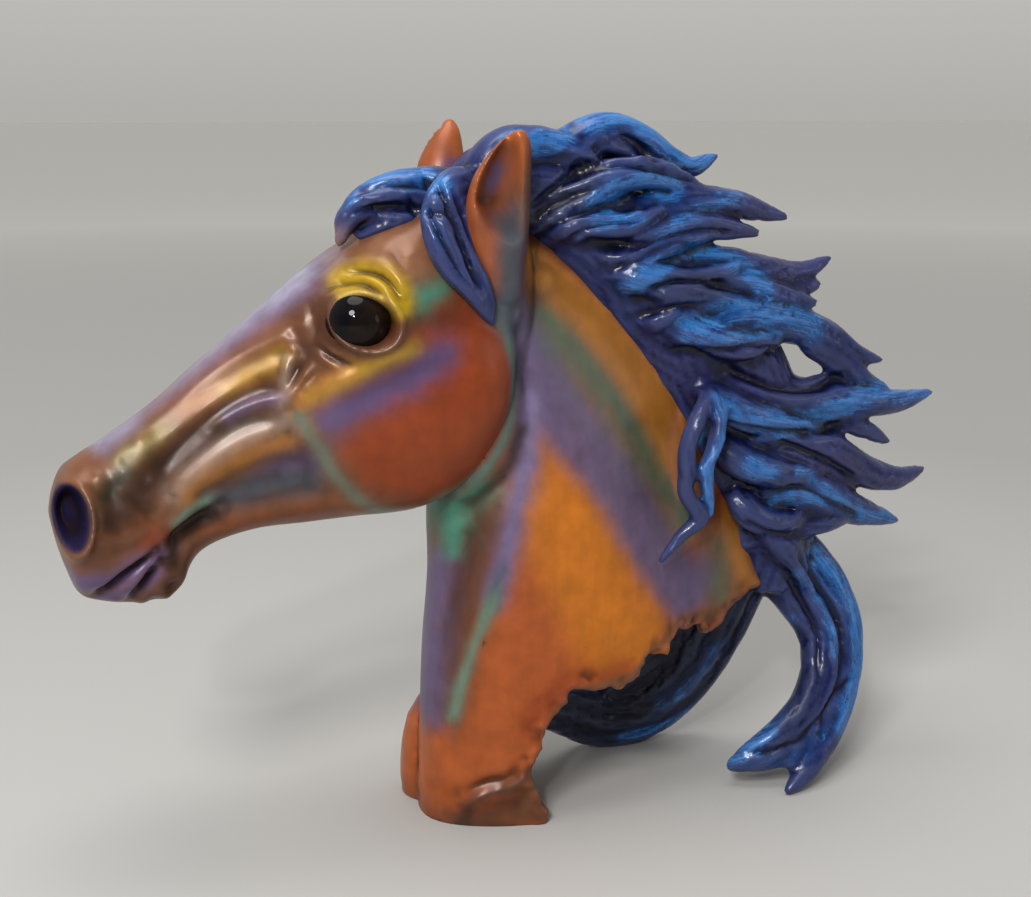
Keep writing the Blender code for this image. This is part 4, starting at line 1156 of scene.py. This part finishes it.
HIDE_STROKES = (
    (ORANGE, 1, 20, ((22, 64), (16, 46), (8, 30), (0, 12), (-4, 0))),
    (ORANGE, 0.9, 9, ((-4, 26), (-10, 10), (-10, 0))),
    (RED_BROWN, 0.7, 5, ((2, 84), (0, 76), (0, 66))),
    (GOLD, 0.95, 6.4, ((0.5, 54), (3.6, 44), (8.5, 33), (12.4, 24))),
    (GOLD, 0.9, 6, ((8, 46), (15.2, 36), (14, 26))),
    (MAUVE, 0.95, 4.8, ((-1.4, 70), (3.1, 61), (12.2, 49), (19, 38), (24, 32))),
    (GREY_GREEN, 1, 3.3, ((2.6, 73), (9.9, 63.6), (19, 51), (24.4, 42.4))),
    (OCHRE, 0.95, 4.2, ((2, 80.6), (10.8, 72.2), (18.6, 62), (23.4, 52.4))),
    (RED_BROWN, 0.9, 1.2, ((0.5, 84), (10.4, 76.3), (18.1, 67.5), (23.8, 60), (25.8, 52.3),
        (28.4, 42))),
    (MAUVE, 0.8, 3, ((24.6, 33.4), (28, 34))),
    (GREY_GREEN, 0.8, 2.4, ((30.6, 37.6), (30.2, 30))),
    (OCHRE, 0.8, 2.2, ((31.8, 42), (34.4, 34), (37.2, 27.7))),
    (RED_BROWN, 0.8, 1.6, ((23, 25), (29, 26.6), (36, 29))),
    # Painted shade along the groove down the front of the neck.
    (BROWN, 0.9, 3, ((-7.6, 46), (-9.6, 37), (-11.4, 28), (-12.9, 18))),
    (MAUVE, 0.95, 1.7, ((-12, 40), (-13.2, 30.2), (-13.9, 21.5), (-14.2, 16))),
    (MAUVE, 0.8, 2.6, ((-5.8, 83), (-4, 72), (-2, 62), (-2.6, 53))),
    (PALE_VIOLET, 0.95, 1.6, ((-1.2, 62), (-1.8, 55.6), (-3.6, 46.6), (-5.2, 39.6), (-6.1, 35))),
    (SLATE, 0.7, 1, ((-5.6, 38), (-6.4, 34))),
    (PALE_TEAL, 0.95, 0.85, ((-6.2, 35.2), (-9.4, 26), (-11.6, 16.9))),
    (TEAL, 1, 2.5, ((-12.6, 49.6), (-8.6, 50.4))),
    (TEAL, 1, 1.9, ((-11.2, 48), (-11.2, 44.4))),
    (TEAL, 0.9, 1.1, ((-11.2, 44), (-11.1, 40.8))),
    (BROWN, 0.75, 4, ((-27, 78), (-31, 72), (-36, 64), (-33, 57))),
    # Along the bridge of the nose: pale violet paint made paler as painted sheen, then a steel-grey
    # painted highlight.
    (PALE_VIOLET, 0.9, 1.4, ((-26.4, 82.4), (-31.8, 78), (-41, 70.6), (-50.4, 63.4),
        (-56.4, 59.2))),
    (RIDGE_HIGHLIGHT_GREY, 0.85, 0.9, ((-29.6, 80.2), (-36, 75.4), (-44, 69.2), (-52, 62.8), (-57.4, 59.2))),
    (COPPER, 0.8, 1.4, ((-31, 74), (-38, 70.2), (-44.2, 65.8), (-50, 61.6))),
    (OCHRE, 0.4, 1.5, ((-34, 70), (-38.2, 67.2), (-42.7, 64.6), (-45.6, 63))),
    (YELLOW, 0.42, 1.2, ((-34.4, 69.8), (-37.5, 68), (-41, 65.8))),
    (LIME, 0.95, 1.5, ((-49.2, 60.6), (-52, 58.8), (-54, 57.4))),
    (GREEN, 0.95, 1.5, ((-54, 56), (-56.6, 53.2))),
    # Painted shade: the dark band in the hollow between the nose and the cheek muscle.
    (SHADE_BROWN, 0.9, 2.6, ((-56, 50.4), (-52, 54.4), (-46.4, 58.6), (-40.6, 62.2))),
    # Painted highlight on the cheek muscle.
    (SILVER_HIGHLIGHT, 0.45, 1.5, ((-34, 61.4), (-37.4, 60.6), (-41, 58.8), (-45.4, 55.6), (-48.4, 53))),
    (OCHRE, 0.8, 1.6, ((-34.4, 58.8), (-38.6, 57), (-42.8, 54.8), (-46, 52.8))),
    (VIOLET, 0.6, 2, ((-31, 56), (-33.6, 55.6), (-36, 54.8))),
    (SLATE, 0.85, 2.1, ((-31.4, 53.2), (-35, 53), (-39.6, 52.2), (-42.6, 51.4))),
    (PALE_TEAL, 0.95, 0.8, ((-44.4, 51.4), (-46.4, 50.4), (-48.4, 48.8))),
    (MAUVE, 0.6, 0.9, ((-34.2, 64.6), (-37.6, 64.2), (-41.2, 62.4))),
    # Painted highlight on the fold before the eye.
    (SILVER_HIGHLIGHT, 0.4, 0.7, ((-33.4, 69.4), (-34, 66), (-34.6, 63.6))),
    (JAW_COPPER, 0.9, 1.6, ((-43.4, 47.2), (-37, 47.8), (-29.6, 48.8), (-24, 48.6))),
    (VIOLET, 0.95, 1.7, ((-61.6, 42.6), (-56.8, 42.2), (-52.4, 44.2), (-50.4, 45.4))),
    (VIOLET, 0.95, 1.2, ((-57.4, 39.4), (-53.6, 40.4), (-51, 42.4))),
    (TERRACOTTA, 0.8, 1.6, ((-51.4, 47.2), (-49.8, 47.4))),
    # Painted shade in the mouth corner.
    (SHADE_BROWN, 0.9, 1, ((-43, 49.2), (-46.4, 47.6), (-48.8, 45.4), (-48.6, 42.8))),
    (BROWN, 0.8, 2.2, ((-51, 38.4), (-48.6, 41))),
    # Painted shade along the mouth and the chin groove.
    (BROWN, 0.6, 0.45, ((-58.6, 39.6), (-57.4, 40.8), (-55.4, 42.7), (-53.4, 44), (-50.8, 45.6))),
    (BROWN, 0.6, 0.4, ((-54.2, 38.6), (-53.1, 40.7), (-51.9, 42.1), (-50.4, 43.6))),
    (TERRACOTTA, 1, 9.6, ((-17.4, 61.2), (-14.6, 62.6))),
    (TERRACOTTA, 1, 5, ((-22.6, 57.6), (-17, 54.4), (-11.4, 56), (-9, 62), (-9.4, 69), (-13, 73))),
    (RED_BROWN, 0.8, 1.8, ((-21.6, 73.4), (-16, 74.4), (-10.6, 76.6))),
    (YELLOW, 0.8, 1.2, ((-18.6, 70.8), (-22.2, 69.5), (-26, 68.1))),
    (OCHRE, 0.85, 1.6, ((-26.4, 67.6), (-29.4, 66), (-32.2, 63.8))),
    (YELLOW, 0.4, 1.1, ((-25, 68), (-31, 64.6))),
    (VIOLET, 0.9, 2.2, ((-14.4, 69.9), (-18.4, 67.6), (-23.4, 65), (-29, 61.8))),
    (OCHRE, 0.5, 0.9, ((-32.6, 62.6), (-31.2, 60))),
    (RIM_GREY, 1, 0.9, ((-32.6, 62.4), (-30.9, 59), (-28.2, 54.4), (-24.6, 50.2), (-21.8, 48.2))),
    (RIM_GREY, 1, 0.9, ((-22, 48.2), (-17.8, 47), (-13.2, 48.2), (-9, 51.6))),
    (RIM_TEAL, 1.0, 0.8, ((-9, 51.6), (-6, 55.8), (-4.1, 60.5), (-3.7, 66.4), (-5.4, 72.2),
        (-7.4, 74.4))),
    # Painted shade in the throat crease.
    (SHADE_BROWN, 0.75, 1, ((-8.6, 48.6), (-4.6, 52.6), (-2.4, 58.2))),
    (TEAL, 1, 1.7, ((-17.4, 76.9), (-14.6, 78.2))),
    (YELLOW, 1.0, 1.3, ((-26.4, 78.8), (-25.2, 80), (-23.2, 80.6), (-21, 79.8), (-19.9, 78.2),
        (-19.4, 76.8))),
    (YELLOW, 1, 1.2, ((-25.8, 79), (-23.2, 79.4), (-21.3, 78), (-20.2, 75.6))),
    (PALE_YELLOW, 0.9, 0.45, ((-27, 77.4), (-25, 77.9), (-22.8, 77.5), (-21.2, 75.9))),
    (BROWN, 0.85, 1.1, ((-28.4, 74.4), (-27, 71.6), (-24.2, 70.6), (-21.2, 71.8), (-20, 73.6))),
    (SLATE, 1, 2.6, ((-5.8, 86.4), (-5.8, 81), (-5.8, 76))),
    (ORANGE, 0.85, 3.6, ((-4.6, 97), (-7.6, 91.4), (-9, 84), (-8.6, 79))),
    (RED_BROWN, 0.7, 1.6, ((-7.2, 94.6), (-8, 90), (-8.4, 86.4))),
    (VIOLET, 0.8, 1, ((-6.6, 92.8), (-7.3, 90.6))),
    (SLATE, 0.85, 1.9, ((-5.8, 85.6), (-5.2, 80), (-4.4, 73))),
    (TAN, 0.6, 2.2, ((-22.4, 84.2), (-18.4, 82.8), (-15.4, 80.8))),
    (TERRACOTTA, 0.8, 2, ((-1.4, 16), (3.4, 21), (12.6, 22.6))),
    # Painted shade on the foot: its end face, the groove over it, its bottom edge and the torn edge.
    (BROWN, 0.85, 3.4, ((-12, 0), (-6, 2.6), (-1, 3.4))),
    (SHADE_BROWN, 0.8, 0.9, ((-10.4, 1), (-9.6, 4.2), (-7, 6), (-4, 6.8), (-1.4, 9.4))),
    (SHADE_BROWN, 0.6, 1, ((-10, 0.2), (-4.6, 0.4))),
    (SHADE_BROWN, 0.7, 0.7, ((-1.2, 8), (0.6, 12.4), (2.6, 17.4), (7, 20.2), (12.6, 20.8))),
    (COPPER, 0.9, 0.8, ((-2, 3), (-0.2, 9), (1.4, 13), (3.6, 18.4), (8, 20.6), (13, 21.4),
        (18, 24.6), (23, 28), (30, 27))),
    (COPPER_EDGE, 0.9, 0.6, ((24.6, 60), (22.9, 57), (22.1, 52.4), (21.9, 48.8), (23.2, 45.6))),
)
HIDE_FRAY = 0.7
# Painted shade: the hollow of each nostril is painted near black.
NOSTRIL_SHADE_REACH = (0.88, 1.04)
NOSTRIL_SHADE_SIDE = (1.0, 2.0)
NOSTRIL_SHADE = (0.020, 0.016, 0.055)


def keep_paint(obj, colour, **shares):
    """Stores the colours of a skin, and each share from 0 to 1 that its finish reads."""
    store(obj, "paint", "FLOAT_COLOR", np.column_stack([colour, np.ones(len(colour))]))
    for name, share in shares.items():
        store(obj, name, "FLOAT", share)


def dress_hide(obj):
    places, _ = skin_points(obj)
    flat = drawn(places)
    groove, crest = hollowness(obj)
    colour = painted(flat, COPPER, HIDE_STROKES, HIDE_FRAY)
    # Painted shade: near black in the nostril's hollow; the same mask makes it dull.
    inside = 1 - smooth_step(oval_reach(flat[:, [0, 2]], NOSTRIL), *NOSTRIL_SHADE_REACH)
    inside *= smooth_step(np.abs(flat[:, 1]), *NOSTRIL_SHADE_SIDE)
    colour += (np.array(NOSTRIL_SHADE) - colour) * inside[:, None]
    keep_paint(obj, colour, groove=groove, crest=crest, dull=inside)
    grooved = round(float((groove > 0.3).mean()), 3)
    print("hide painted with", len(HIDE_STROKES), "strokes; grooves on", grooved)


dress_hide(hide)

# %% Strokes on the mane: indigo ground, bright blue dry brush
INDIGO = (0.008, 0.016, 0.095)
DEEP_VIOLET = (0.022, 0.017, 0.092)
MID_BLUE = (0.010, 0.062, 0.220)
BRIGHT_BLUE = (0.016, 0.135, 0.390)
SKY_BLUE = (0.045, 0.230, 0.520)
SHADE_NAVY = (0.003, 0.005, 0.014)
PINK_BROWN = (0.25, 0.13, 0.11)

MANE_STROKES = (
    (DEEP_VIOLET, 0.6, 5, ((30, 86), (40, 85))),
    (DEEP_VIOLET, 0.6, 5, ((36, 80), (48, 77))),
    (DEEP_VIOLET, 0.6, 5, ((46, 50), (60, 45), (68, 45))),
    (DEEP_VIOLET, 0.5, 5, ((20, 66), (32, 62), (44, 62))),
    # Painted shade: near-black strokes in the hollows under the top locks and over the dark lock
    # under the neck.
    (SHADE_NAVY, 0.6, 2.6, ((0, 86), (4, 88.4), (8, 88.6))),
    (SHADE_NAVY, 0.6, 1.6, ((18, 77.4), (26, 77))),
    (SHADE_NAVY, 0.75, 10, ((36, 18), (24, 8), (8, 10))),
    (PINK_BROWN, 0.9, 1.4, ((-26, 84.2), (-25.2, 82.8))),
)
DRY_BRUSH = (
    (1, 2.2, ((-2.6, 95), (2.1, 96), (4.8, 96.9))),
    (1, 1.9, ((9, 98.6), (13, 99.4), (16.6, 98.4), (20, 95.6), (24.2, 93.6), (28, 93.6))),
    (1, 2, ((8.9, 87.8), (11.8, 90), (16.2, 90.4), (20.5, 89.2))),
    (0.9, 1.3, ((8.2, 85.7), (14.5, 86.3))),
    (0.8, 1.5, ((17.6, 83.3), (22.9, 86), (27.3, 87.4), (32, 88.6))),
    (1, 1.9, ((14, 77.3), (19, 80.1), (25, 81.2), (30.1, 79.4), (34.9, 76.2))),
    (1, 2.3, ((22.1, 70.8), (27.2, 72.4), (32.9, 72.7), (39.2, 71.1), (44.3, 69.4))),
    (0.9, 1.2, ((23.6, 69.2), (29.8, 69.4), (37.5, 69.2))),
    (1, 2, ((27.9, 59.3), (33.3, 57.1), (40.9, 56), (49.2, 57.2), (57.2, 58.8), (68, 57.8))),
    (0.8, 1.1, ((29.4, 56.5), (37.7, 54.5), (46.9, 55.1))),
    (1, 1.7, ((32.6, 50.3), (35.9, 49.3))),
    (1, 1.3, ((37.3, 44.3), (41.8, 44.7), (48.1, 43.4), (55.1, 40), (62, 38.2))),
    (0.9, 1, ((41.1, 48.6), (47.1, 45.1), (52.7, 41.4))),
    (1, 1, ((26.2, 60.8), (26.7, 57.4), (25.6, 54), (24.2, 51.2), (24.5, 48), (25.2, 44.8))),
    (1, 2.2, ((47, 34), (52, 28.6), (54, 22), (52.6, 14.6), (49, 9))),
    (0.8, 1.3, ((43.2, 32.5), (48.2, 26.4), (49, 19.9))),
    (0.6, 1.2, ((44.5, 8.3), (40.2, 5.8), (34.8, 4.6))),
    (0.9, 1.3, ((42.6, 24), (40, 15.6), (35.4, 8.4), (28.8, 4.2), (21.6, 2.9))),
    (0.7, 1.4, ((34.3, 19), (32.2, 12.6), (27.5, 8))),
    (1, 2, ((-25.4, 90), (-22.5, 91.8), (-17.8, 92.2), (-13.8, 91.6))),
    (0.6, 0.7, ((-17.4, 91), (-16.2, 87.4), (-14.6, 83.8))),
)
MANE_FRAY = 0.8
BRUSH_EDGE = (0.2, 1.9)


def dress_mane(obj):
    places, _ = skin_points(obj)
    flat = drawn(places)
    side = flat[:, [0, 2]]
    groove, crest = hollowness(obj)
    colour = painted(flat, INDIGO, MANE_STROKES, MANE_FRAY)
    edge = MANE_FRAY * noise_at(flat, 0.5, 5.3)
    brushed = np.zeros(len(flat))
    for strength, half_width, line in DRY_BRUSH:
        gap = line_distance(side, through(line, CARVE_STEPS)) + edge
        start, end = (share * half_width for share in BRUSH_EDGE)
        brushed = np.maximum(brushed, strength * (1 - smooth_step(gap, start, end)))
    keep_paint(obj, colour, brushed=brushed, groove=groove, crest=crest)
    print("dry brush covers", round(float((brushed > 0.5).mean()), 3), "of the mane")


dress_mane(mane)

# %% [markdown]
# ## Materials
#
# All three finishes are Principled shaders. The hide is a metallic paint: the stored colour, broken
# up by noise and by long brush marks, with painted shade in the grooves and a painted highlight on
# the crests. The mane is glossier, with the same painted shade and highlight, and its dry brush
# catches only the tops of the streaks that run with each lock. The eye is nearly black under a clear
# coat.

# %% Small builders of nodes
NOISE_MIDDLE = (0.3, 0.7)


def fresh(material):
    """Leaves a material with nothing but a Principled shader on its output."""
    material.use_nodes = True
    tree = material.node_tree
    tree.nodes.clear()
    shader = tree.nodes.new("ShaderNodeBsdfPrincipled")
    made(tree, "ShaderNodeOutputMaterial", {"Surface": shader.outputs["BSDF"]})
    return tree, shader


def stored(tree, name, output="Fac"):
    return made(tree, "ShaderNodeAttribute", attribute_name=name).outputs[output]


def spot_on(tree, output="Object"):
    return tree.nodes.new("ShaderNodeTexCoord").outputs[output]


def speckle(tree, vector, scale, detail=4.0, rough=0.55):
    values = {"Vector": vector, "Scale": scale, "Detail": detail, "Roughness": rough}
    return made(tree, "ShaderNodeTexNoise", values).outputs["Fac"]


def turned(tree, vector, scale, rotation=(0, 0, 0)):
    values = {"Vector": vector, "Scale": scale, "Rotation": rotation}
    return made(tree, "ShaderNodeMapping", values).outputs["Vector"]


def spread(tree, value, low, high, to_low=0.0, to_high=1.0):
    values = {"From Min": low, "From Max": high, "To Min": to_low, "To Max": to_high}
    return made(tree, "ShaderNodeMapRange", {"Value": value, **values}).outputs["Result"]


def times(tree, first, second):
    values = {0: first, 1: second}
    return made(tree, "ShaderNodeMath", values, operation="MULTIPLY", use_clamp=True).outputs[0]


def plus(tree, first, second):
    return made(tree, "ShaderNodeMath", {0: first, 1: second}).outputs[0]


def blended(tree, factor, first, second, mode="MIX"):
    """Two colours mixed. The colour sockets of a Mix node are its inputs 6 and 7 and output 2."""
    first, second = ((*c, 1.0) if isinstance(c, tuple) else c for c in (first, second))
    values = {0: factor, 6: first, 7: second}
    return made(tree, "ShaderNodeMix", values, data_type="RGBA", blend_type=mode).outputs[2]


def broken_up(tree, colour, value, to_low, to_high):
    """A colour times a grey that goes from one number to the other with the noise."""
    grey = spread(tree, value, *NOISE_MIDDLE, to_low, to_high)
    node = made(tree, "ShaderNodeCombineColor", {0: grey, 1: grey, 2: grey})
    return blended(tree, 1.0, colour, node.outputs["Color"], "MULTIPLY")


def bumped(tree, height, strength, distance):
    values = {"Height": height, "Strength": strength, "Distance": distance}
    return made(tree, "ShaderNodeBump", values).outputs["Normal"]


print("node builders ready")

# %% The three finishes
# Colours of the painted shade in the grooves and of the painted highlight on the crests
HIDE_GROOVE_SHADE = (0.018, 0.009, 0.006)
HIDE_CREST_HIGHLIGHT = (0.50, 0.32, 0.22)
MANE_GROOVE_SHADE = (0.004, 0.005, 0.022)
MANE_CREST_HIGHLIGHT = (0.30, 0.36, 0.62)
EYE_BLACK = (0.004, 0.004, 0.006)
EYE_BROWN = (0.020, 0.011, 0.007)


def hide_finish():
    material = bpy.data.materials.new("painted_hide")
    tree, shader = fresh(material)
    spot = spot_on(tree)
    mottle = speckle(tree, spot, 160.0, 6.0)
    brush = turned(tree, spot, (380.0, 380.0, 60.0), (0.0, math.radians(14), 0.0))
    marks = speckle(tree, brush, 1.0, 3.0)
    colour = broken_up(tree, stored(tree, "paint", "Color"), mottle, 0.84, 1.12)
    colour = broken_up(tree, colour, marks, 0.95, 1.04)
    # Painted shade: the colour darkens in the grooves of the skin. Painted highlight: it grows paler
    # on the crests.
    groove_shade = times(tree, stored(tree, "groove"), spread(tree, mottle, 0.35, 0.6, 0.65, 1.0))
    colour = blended(tree, times(tree, groove_shade, 0.80), colour, HIDE_GROOVE_SHADE)
    colour = blended(tree, times(tree, stored(tree, "crest"), 0.07), colour, HIDE_CREST_HIGHLIGHT)
    # The nostril's painted shade is also made dull, with almost no reflection.
    dull = stored(tree, "dull")
    plug(tree, shader, {
        "Base Color": colour,
        "Roughness": spread(tree, mottle, *NOISE_MIDDLE, 0.30, 0.44),
        "Metallic": 0.10,
        "Specular IOR Level": spread(tree, dull, 0.0, 1.0, 0.38, 0.02),
        "Coat Weight": spread(tree, dull, 0.0, 1.0, 0.10, 0.0),
        "Coat Roughness": 0.18,
        "Normal": bumped(tree, marks, 0.05, 0.0003),
    })
    return material


def mane_finish(material):
    tree, shader = fresh(material)
    streaks = turned(tree, stored(tree, "strand", "Vector"), (4.2, 0.16, 5.7))
    streaks = speckle(tree, streaks, 1.0, 5.0, 0.6)
    blotch = speckle(tree, spot_on(tree), 240.0, 5.0)
    brushed = stored(tree, "brushed")
    load = spread(tree, brushed, 0.0, 1.0, -0.55, 0.0)
    caught = spread(tree, plus(tree, streaks, load), 0.32, 0.50)
    caught = times(tree, caught, spread(tree, blotch, 0.26, 0.40))
    tint = blended(tree, spread(tree, streaks, 0.45, 0.7), BRIGHT_BLUE, SKY_BLUE)
    colour = broken_up(tree, stored(tree, "paint", "Color"), blotch, 0.75, 1.25)
    colour = blended(tree, times(tree, brushed, 0.75), colour, MID_BLUE)
    colour = blended(tree, times(tree, caught, 0.90), colour, tint)
    # Painted shade darkens the grooves of the hair to near black, and a painted highlight lightens
    # the crests.
    colour = blended(tree, times(tree, stored(tree, "groove"), 0.92), colour, MANE_GROOVE_SHADE)
    colour = blended(tree, times(tree, stored(tree, "crest"), 0.12), colour, MANE_CREST_HIGHLIGHT)
    plug(tree, shader, {
        "Base Color": colour,
        "Roughness": spread(tree, streaks, *NOISE_MIDDLE, 0.24, 0.40),
        "Metallic": 0.0,
        "Specular IOR Level": 0.40,
        "Coat Weight": 0.18,
        "Coat Roughness": 0.10,
        "Normal": bumped(tree, streaks, 0.08, 0.0004),
    })


def eye_finish():
    material = bpy.data.materials.new("gloss_eye")
    tree, shader = fresh(material)
    cloud = spread(tree, speckle(tree, spot_on(tree), 130.0, 3.0), 0.4, 0.7)
    plug(tree, shader, {
        "Base Color": blended(tree, cloud, EYE_BLACK, EYE_BROWN),
        "Roughness": 0.06,
        "Specular IOR Level": 0.18,
        "Coat Weight": 0.08,
        "Coat Roughness": 0.03,
    })
    return material


hide_paint = hide_finish()
mane_finish(mane_paint)
eye_paint = eye_finish()
print("finishes:", hide_paint.name, mane_paint.name, eye_paint.name)

# %% [markdown]
# ## Handing the pieces to the frame
#
# The casting has one body, so every piece rides on it. All of them stand for the one plain solid,
# which is hidden, and each is given its own finish.

# %% Pieces, their finish and their place
SLOTS = (
    (hide, "painted_hide", hide_paint),
    (mane, "painted_mane", mane_paint),
    (eye_near, "gloss_eye", eye_paint),
    (eye_far, "gloss_eye", eye_paint),
)
for piece, slot, paint in SLOTS:
    piece.data.materials.clear()
    piece.data.materials.append(paint)
    piece.data.shade_smooth()
    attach(piece, "root")
    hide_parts("horse_head")
    print(piece.name, sum(len(p.vertices) - 2 for p in piece.data.polygons), "triangles")

# %% [markdown]
# ## Camera, light and table
#
# The camera stands close by and a little above, so the muzzle looms. A round soft window shines from
# the front left, a wide lamp from above, a weak one from the right, and a small one puts the spark
# in the eye. The room round them is pale, and dimmer behind the camera. The table is painted paler
# further from the middle, which is painted light.

# %% Studio
CAMERA_TURN = math.radians(-20)
CAMERA_RISE = math.radians(13)
CAMERA_DISTANCE = 0.400
CAMERA_LOOKS_AT = Vector((-0.0058, 0.0002, 0.1016))
SENSOR = 36.0
LENS = 51.50


def aimed(obj, place, target):
    obj.location = place
    obj.rotation_euler = (Vector(target) - Vector(place)).to_track_quat("-Z", "Y").to_euler()
    bpy.context.scene.collection.objects.link(obj)
    return obj


def studio_camera():
    lens = bpy.data.cameras.new("camera")
    lens.sensor_width = SENSOR
    lens.lens = LENS
    lens.clip_start = 0.01
    turn, rise = CAMERA_TURN, CAMERA_RISE
    level = math.cos(rise)
    back = Vector((math.sin(turn) * level, -math.cos(turn) * level, math.sin(rise)))
    place = CAMERA_LOOKS_AT + back * CAMERA_DISTANCE
    camera = bpy.data.objects.new("camera", lens)
    bpy.context.scene.camera = aimed(camera, place, CAMERA_LOOKS_AT)


def soft_light(name, place, size, power, colour):
    lamp = bpy.data.lights.new(name, "AREA")
    lamp.shape = "DISK"
    lamp.size = size
    lamp.energy = power
    lamp.color = colour
    aimed(bpy.data.objects.new(name, lamp), place, (0, 0, 0.09))


studio_camera()
soft_light("window", (-0.60, -0.70, 0.85), 0.36, 8.6, (1.0, 0.98, 0.95))
soft_light("ceiling", (-0.15, 0.0, 1.1), 0.7, 5.0, (1.0, 0.99, 0.97))
soft_light("bounce", (0.85, -0.55, 0.35), 0.4, 0.6, (0.93, 0.96, 1.0))
soft_light("spark", (-0.42, -0.70, 0.55), 0.06, 2.0, (1.0, 1.0, 1.0))

WALL = (0.61, 0.603, 0.580, 1.0)
WALL_SIDE = (0.0, 0.9, 0.44)
DIM_SIDE = 0.42
WALL_FOOT = 0.80
FLOOR_SIZE = 20.0
FLOOR_GRADES = (0.5, 2.2)
FLOOR_NEAR = (0.48, 0.477, 0.470)
FLOOR_FAR = (0.97, 0.96, 0.94)

room = bpy.data.worlds.new("pale_room")
room.use_nodes = True
room_tree = room.node_tree
around = spot_on(room_tree, "Generated")
facing = {0: around, 1: WALL_SIDE}
towards = made(room_tree, "ShaderNodeVectorMath", facing, operation="DOT_PRODUCT")
height = made(room_tree, "ShaderNodeSeparateXYZ", {0: around}).outputs["Z"]
lit_side = spread(room_tree, towards.outputs["Value"], -0.3, 0.5, DIM_SIDE, 1.0)
lit_foot = spread(room_tree, height, 0.0, 0.13, WALL_FOOT, 1.0)
lit = times(room_tree, lit_side, lit_foot)
plug(room_tree, room_tree.nodes["Background"], {"Color": WALL, "Strength": lit})
bpy.context.scene.world = room
bpy.context.scene.view_settings.view_transform = "Standard"
bpy.context.scene.view_settings.gamma = 0.86

floor_mesh = bmesh.new()
bmesh.ops.create_grid(floor_mesh, x_segments=1, y_segments=1, size=FLOOR_SIZE)
floor = linked("floor", floor_mesh)
floor_paint = bpy.data.materials.new("pale_table")
floor_tree, floor_shader = fresh(floor_paint)
# Painted light: the table grows paler away from the middle, where the lamps bring it less light.
far_off = made(floor_tree, "ShaderNodeVectorMath", {0: spot_on(floor_tree)}, operation="LENGTH")
farness = spread(floor_tree, far_off.outputs["Value"], *FLOOR_GRADES)
plug(floor_tree, floor_shader, {
    "Base Color": blended(floor_tree, farness, FLOOR_NEAR, FLOOR_FAR),
    "Roughness": 0.8,
    "Specular IOR Level": 0.2,
})
floor.data.materials.append(floor_paint)
print("camera at", [round(c, 3) for c in bpy.context.scene.camera.location])
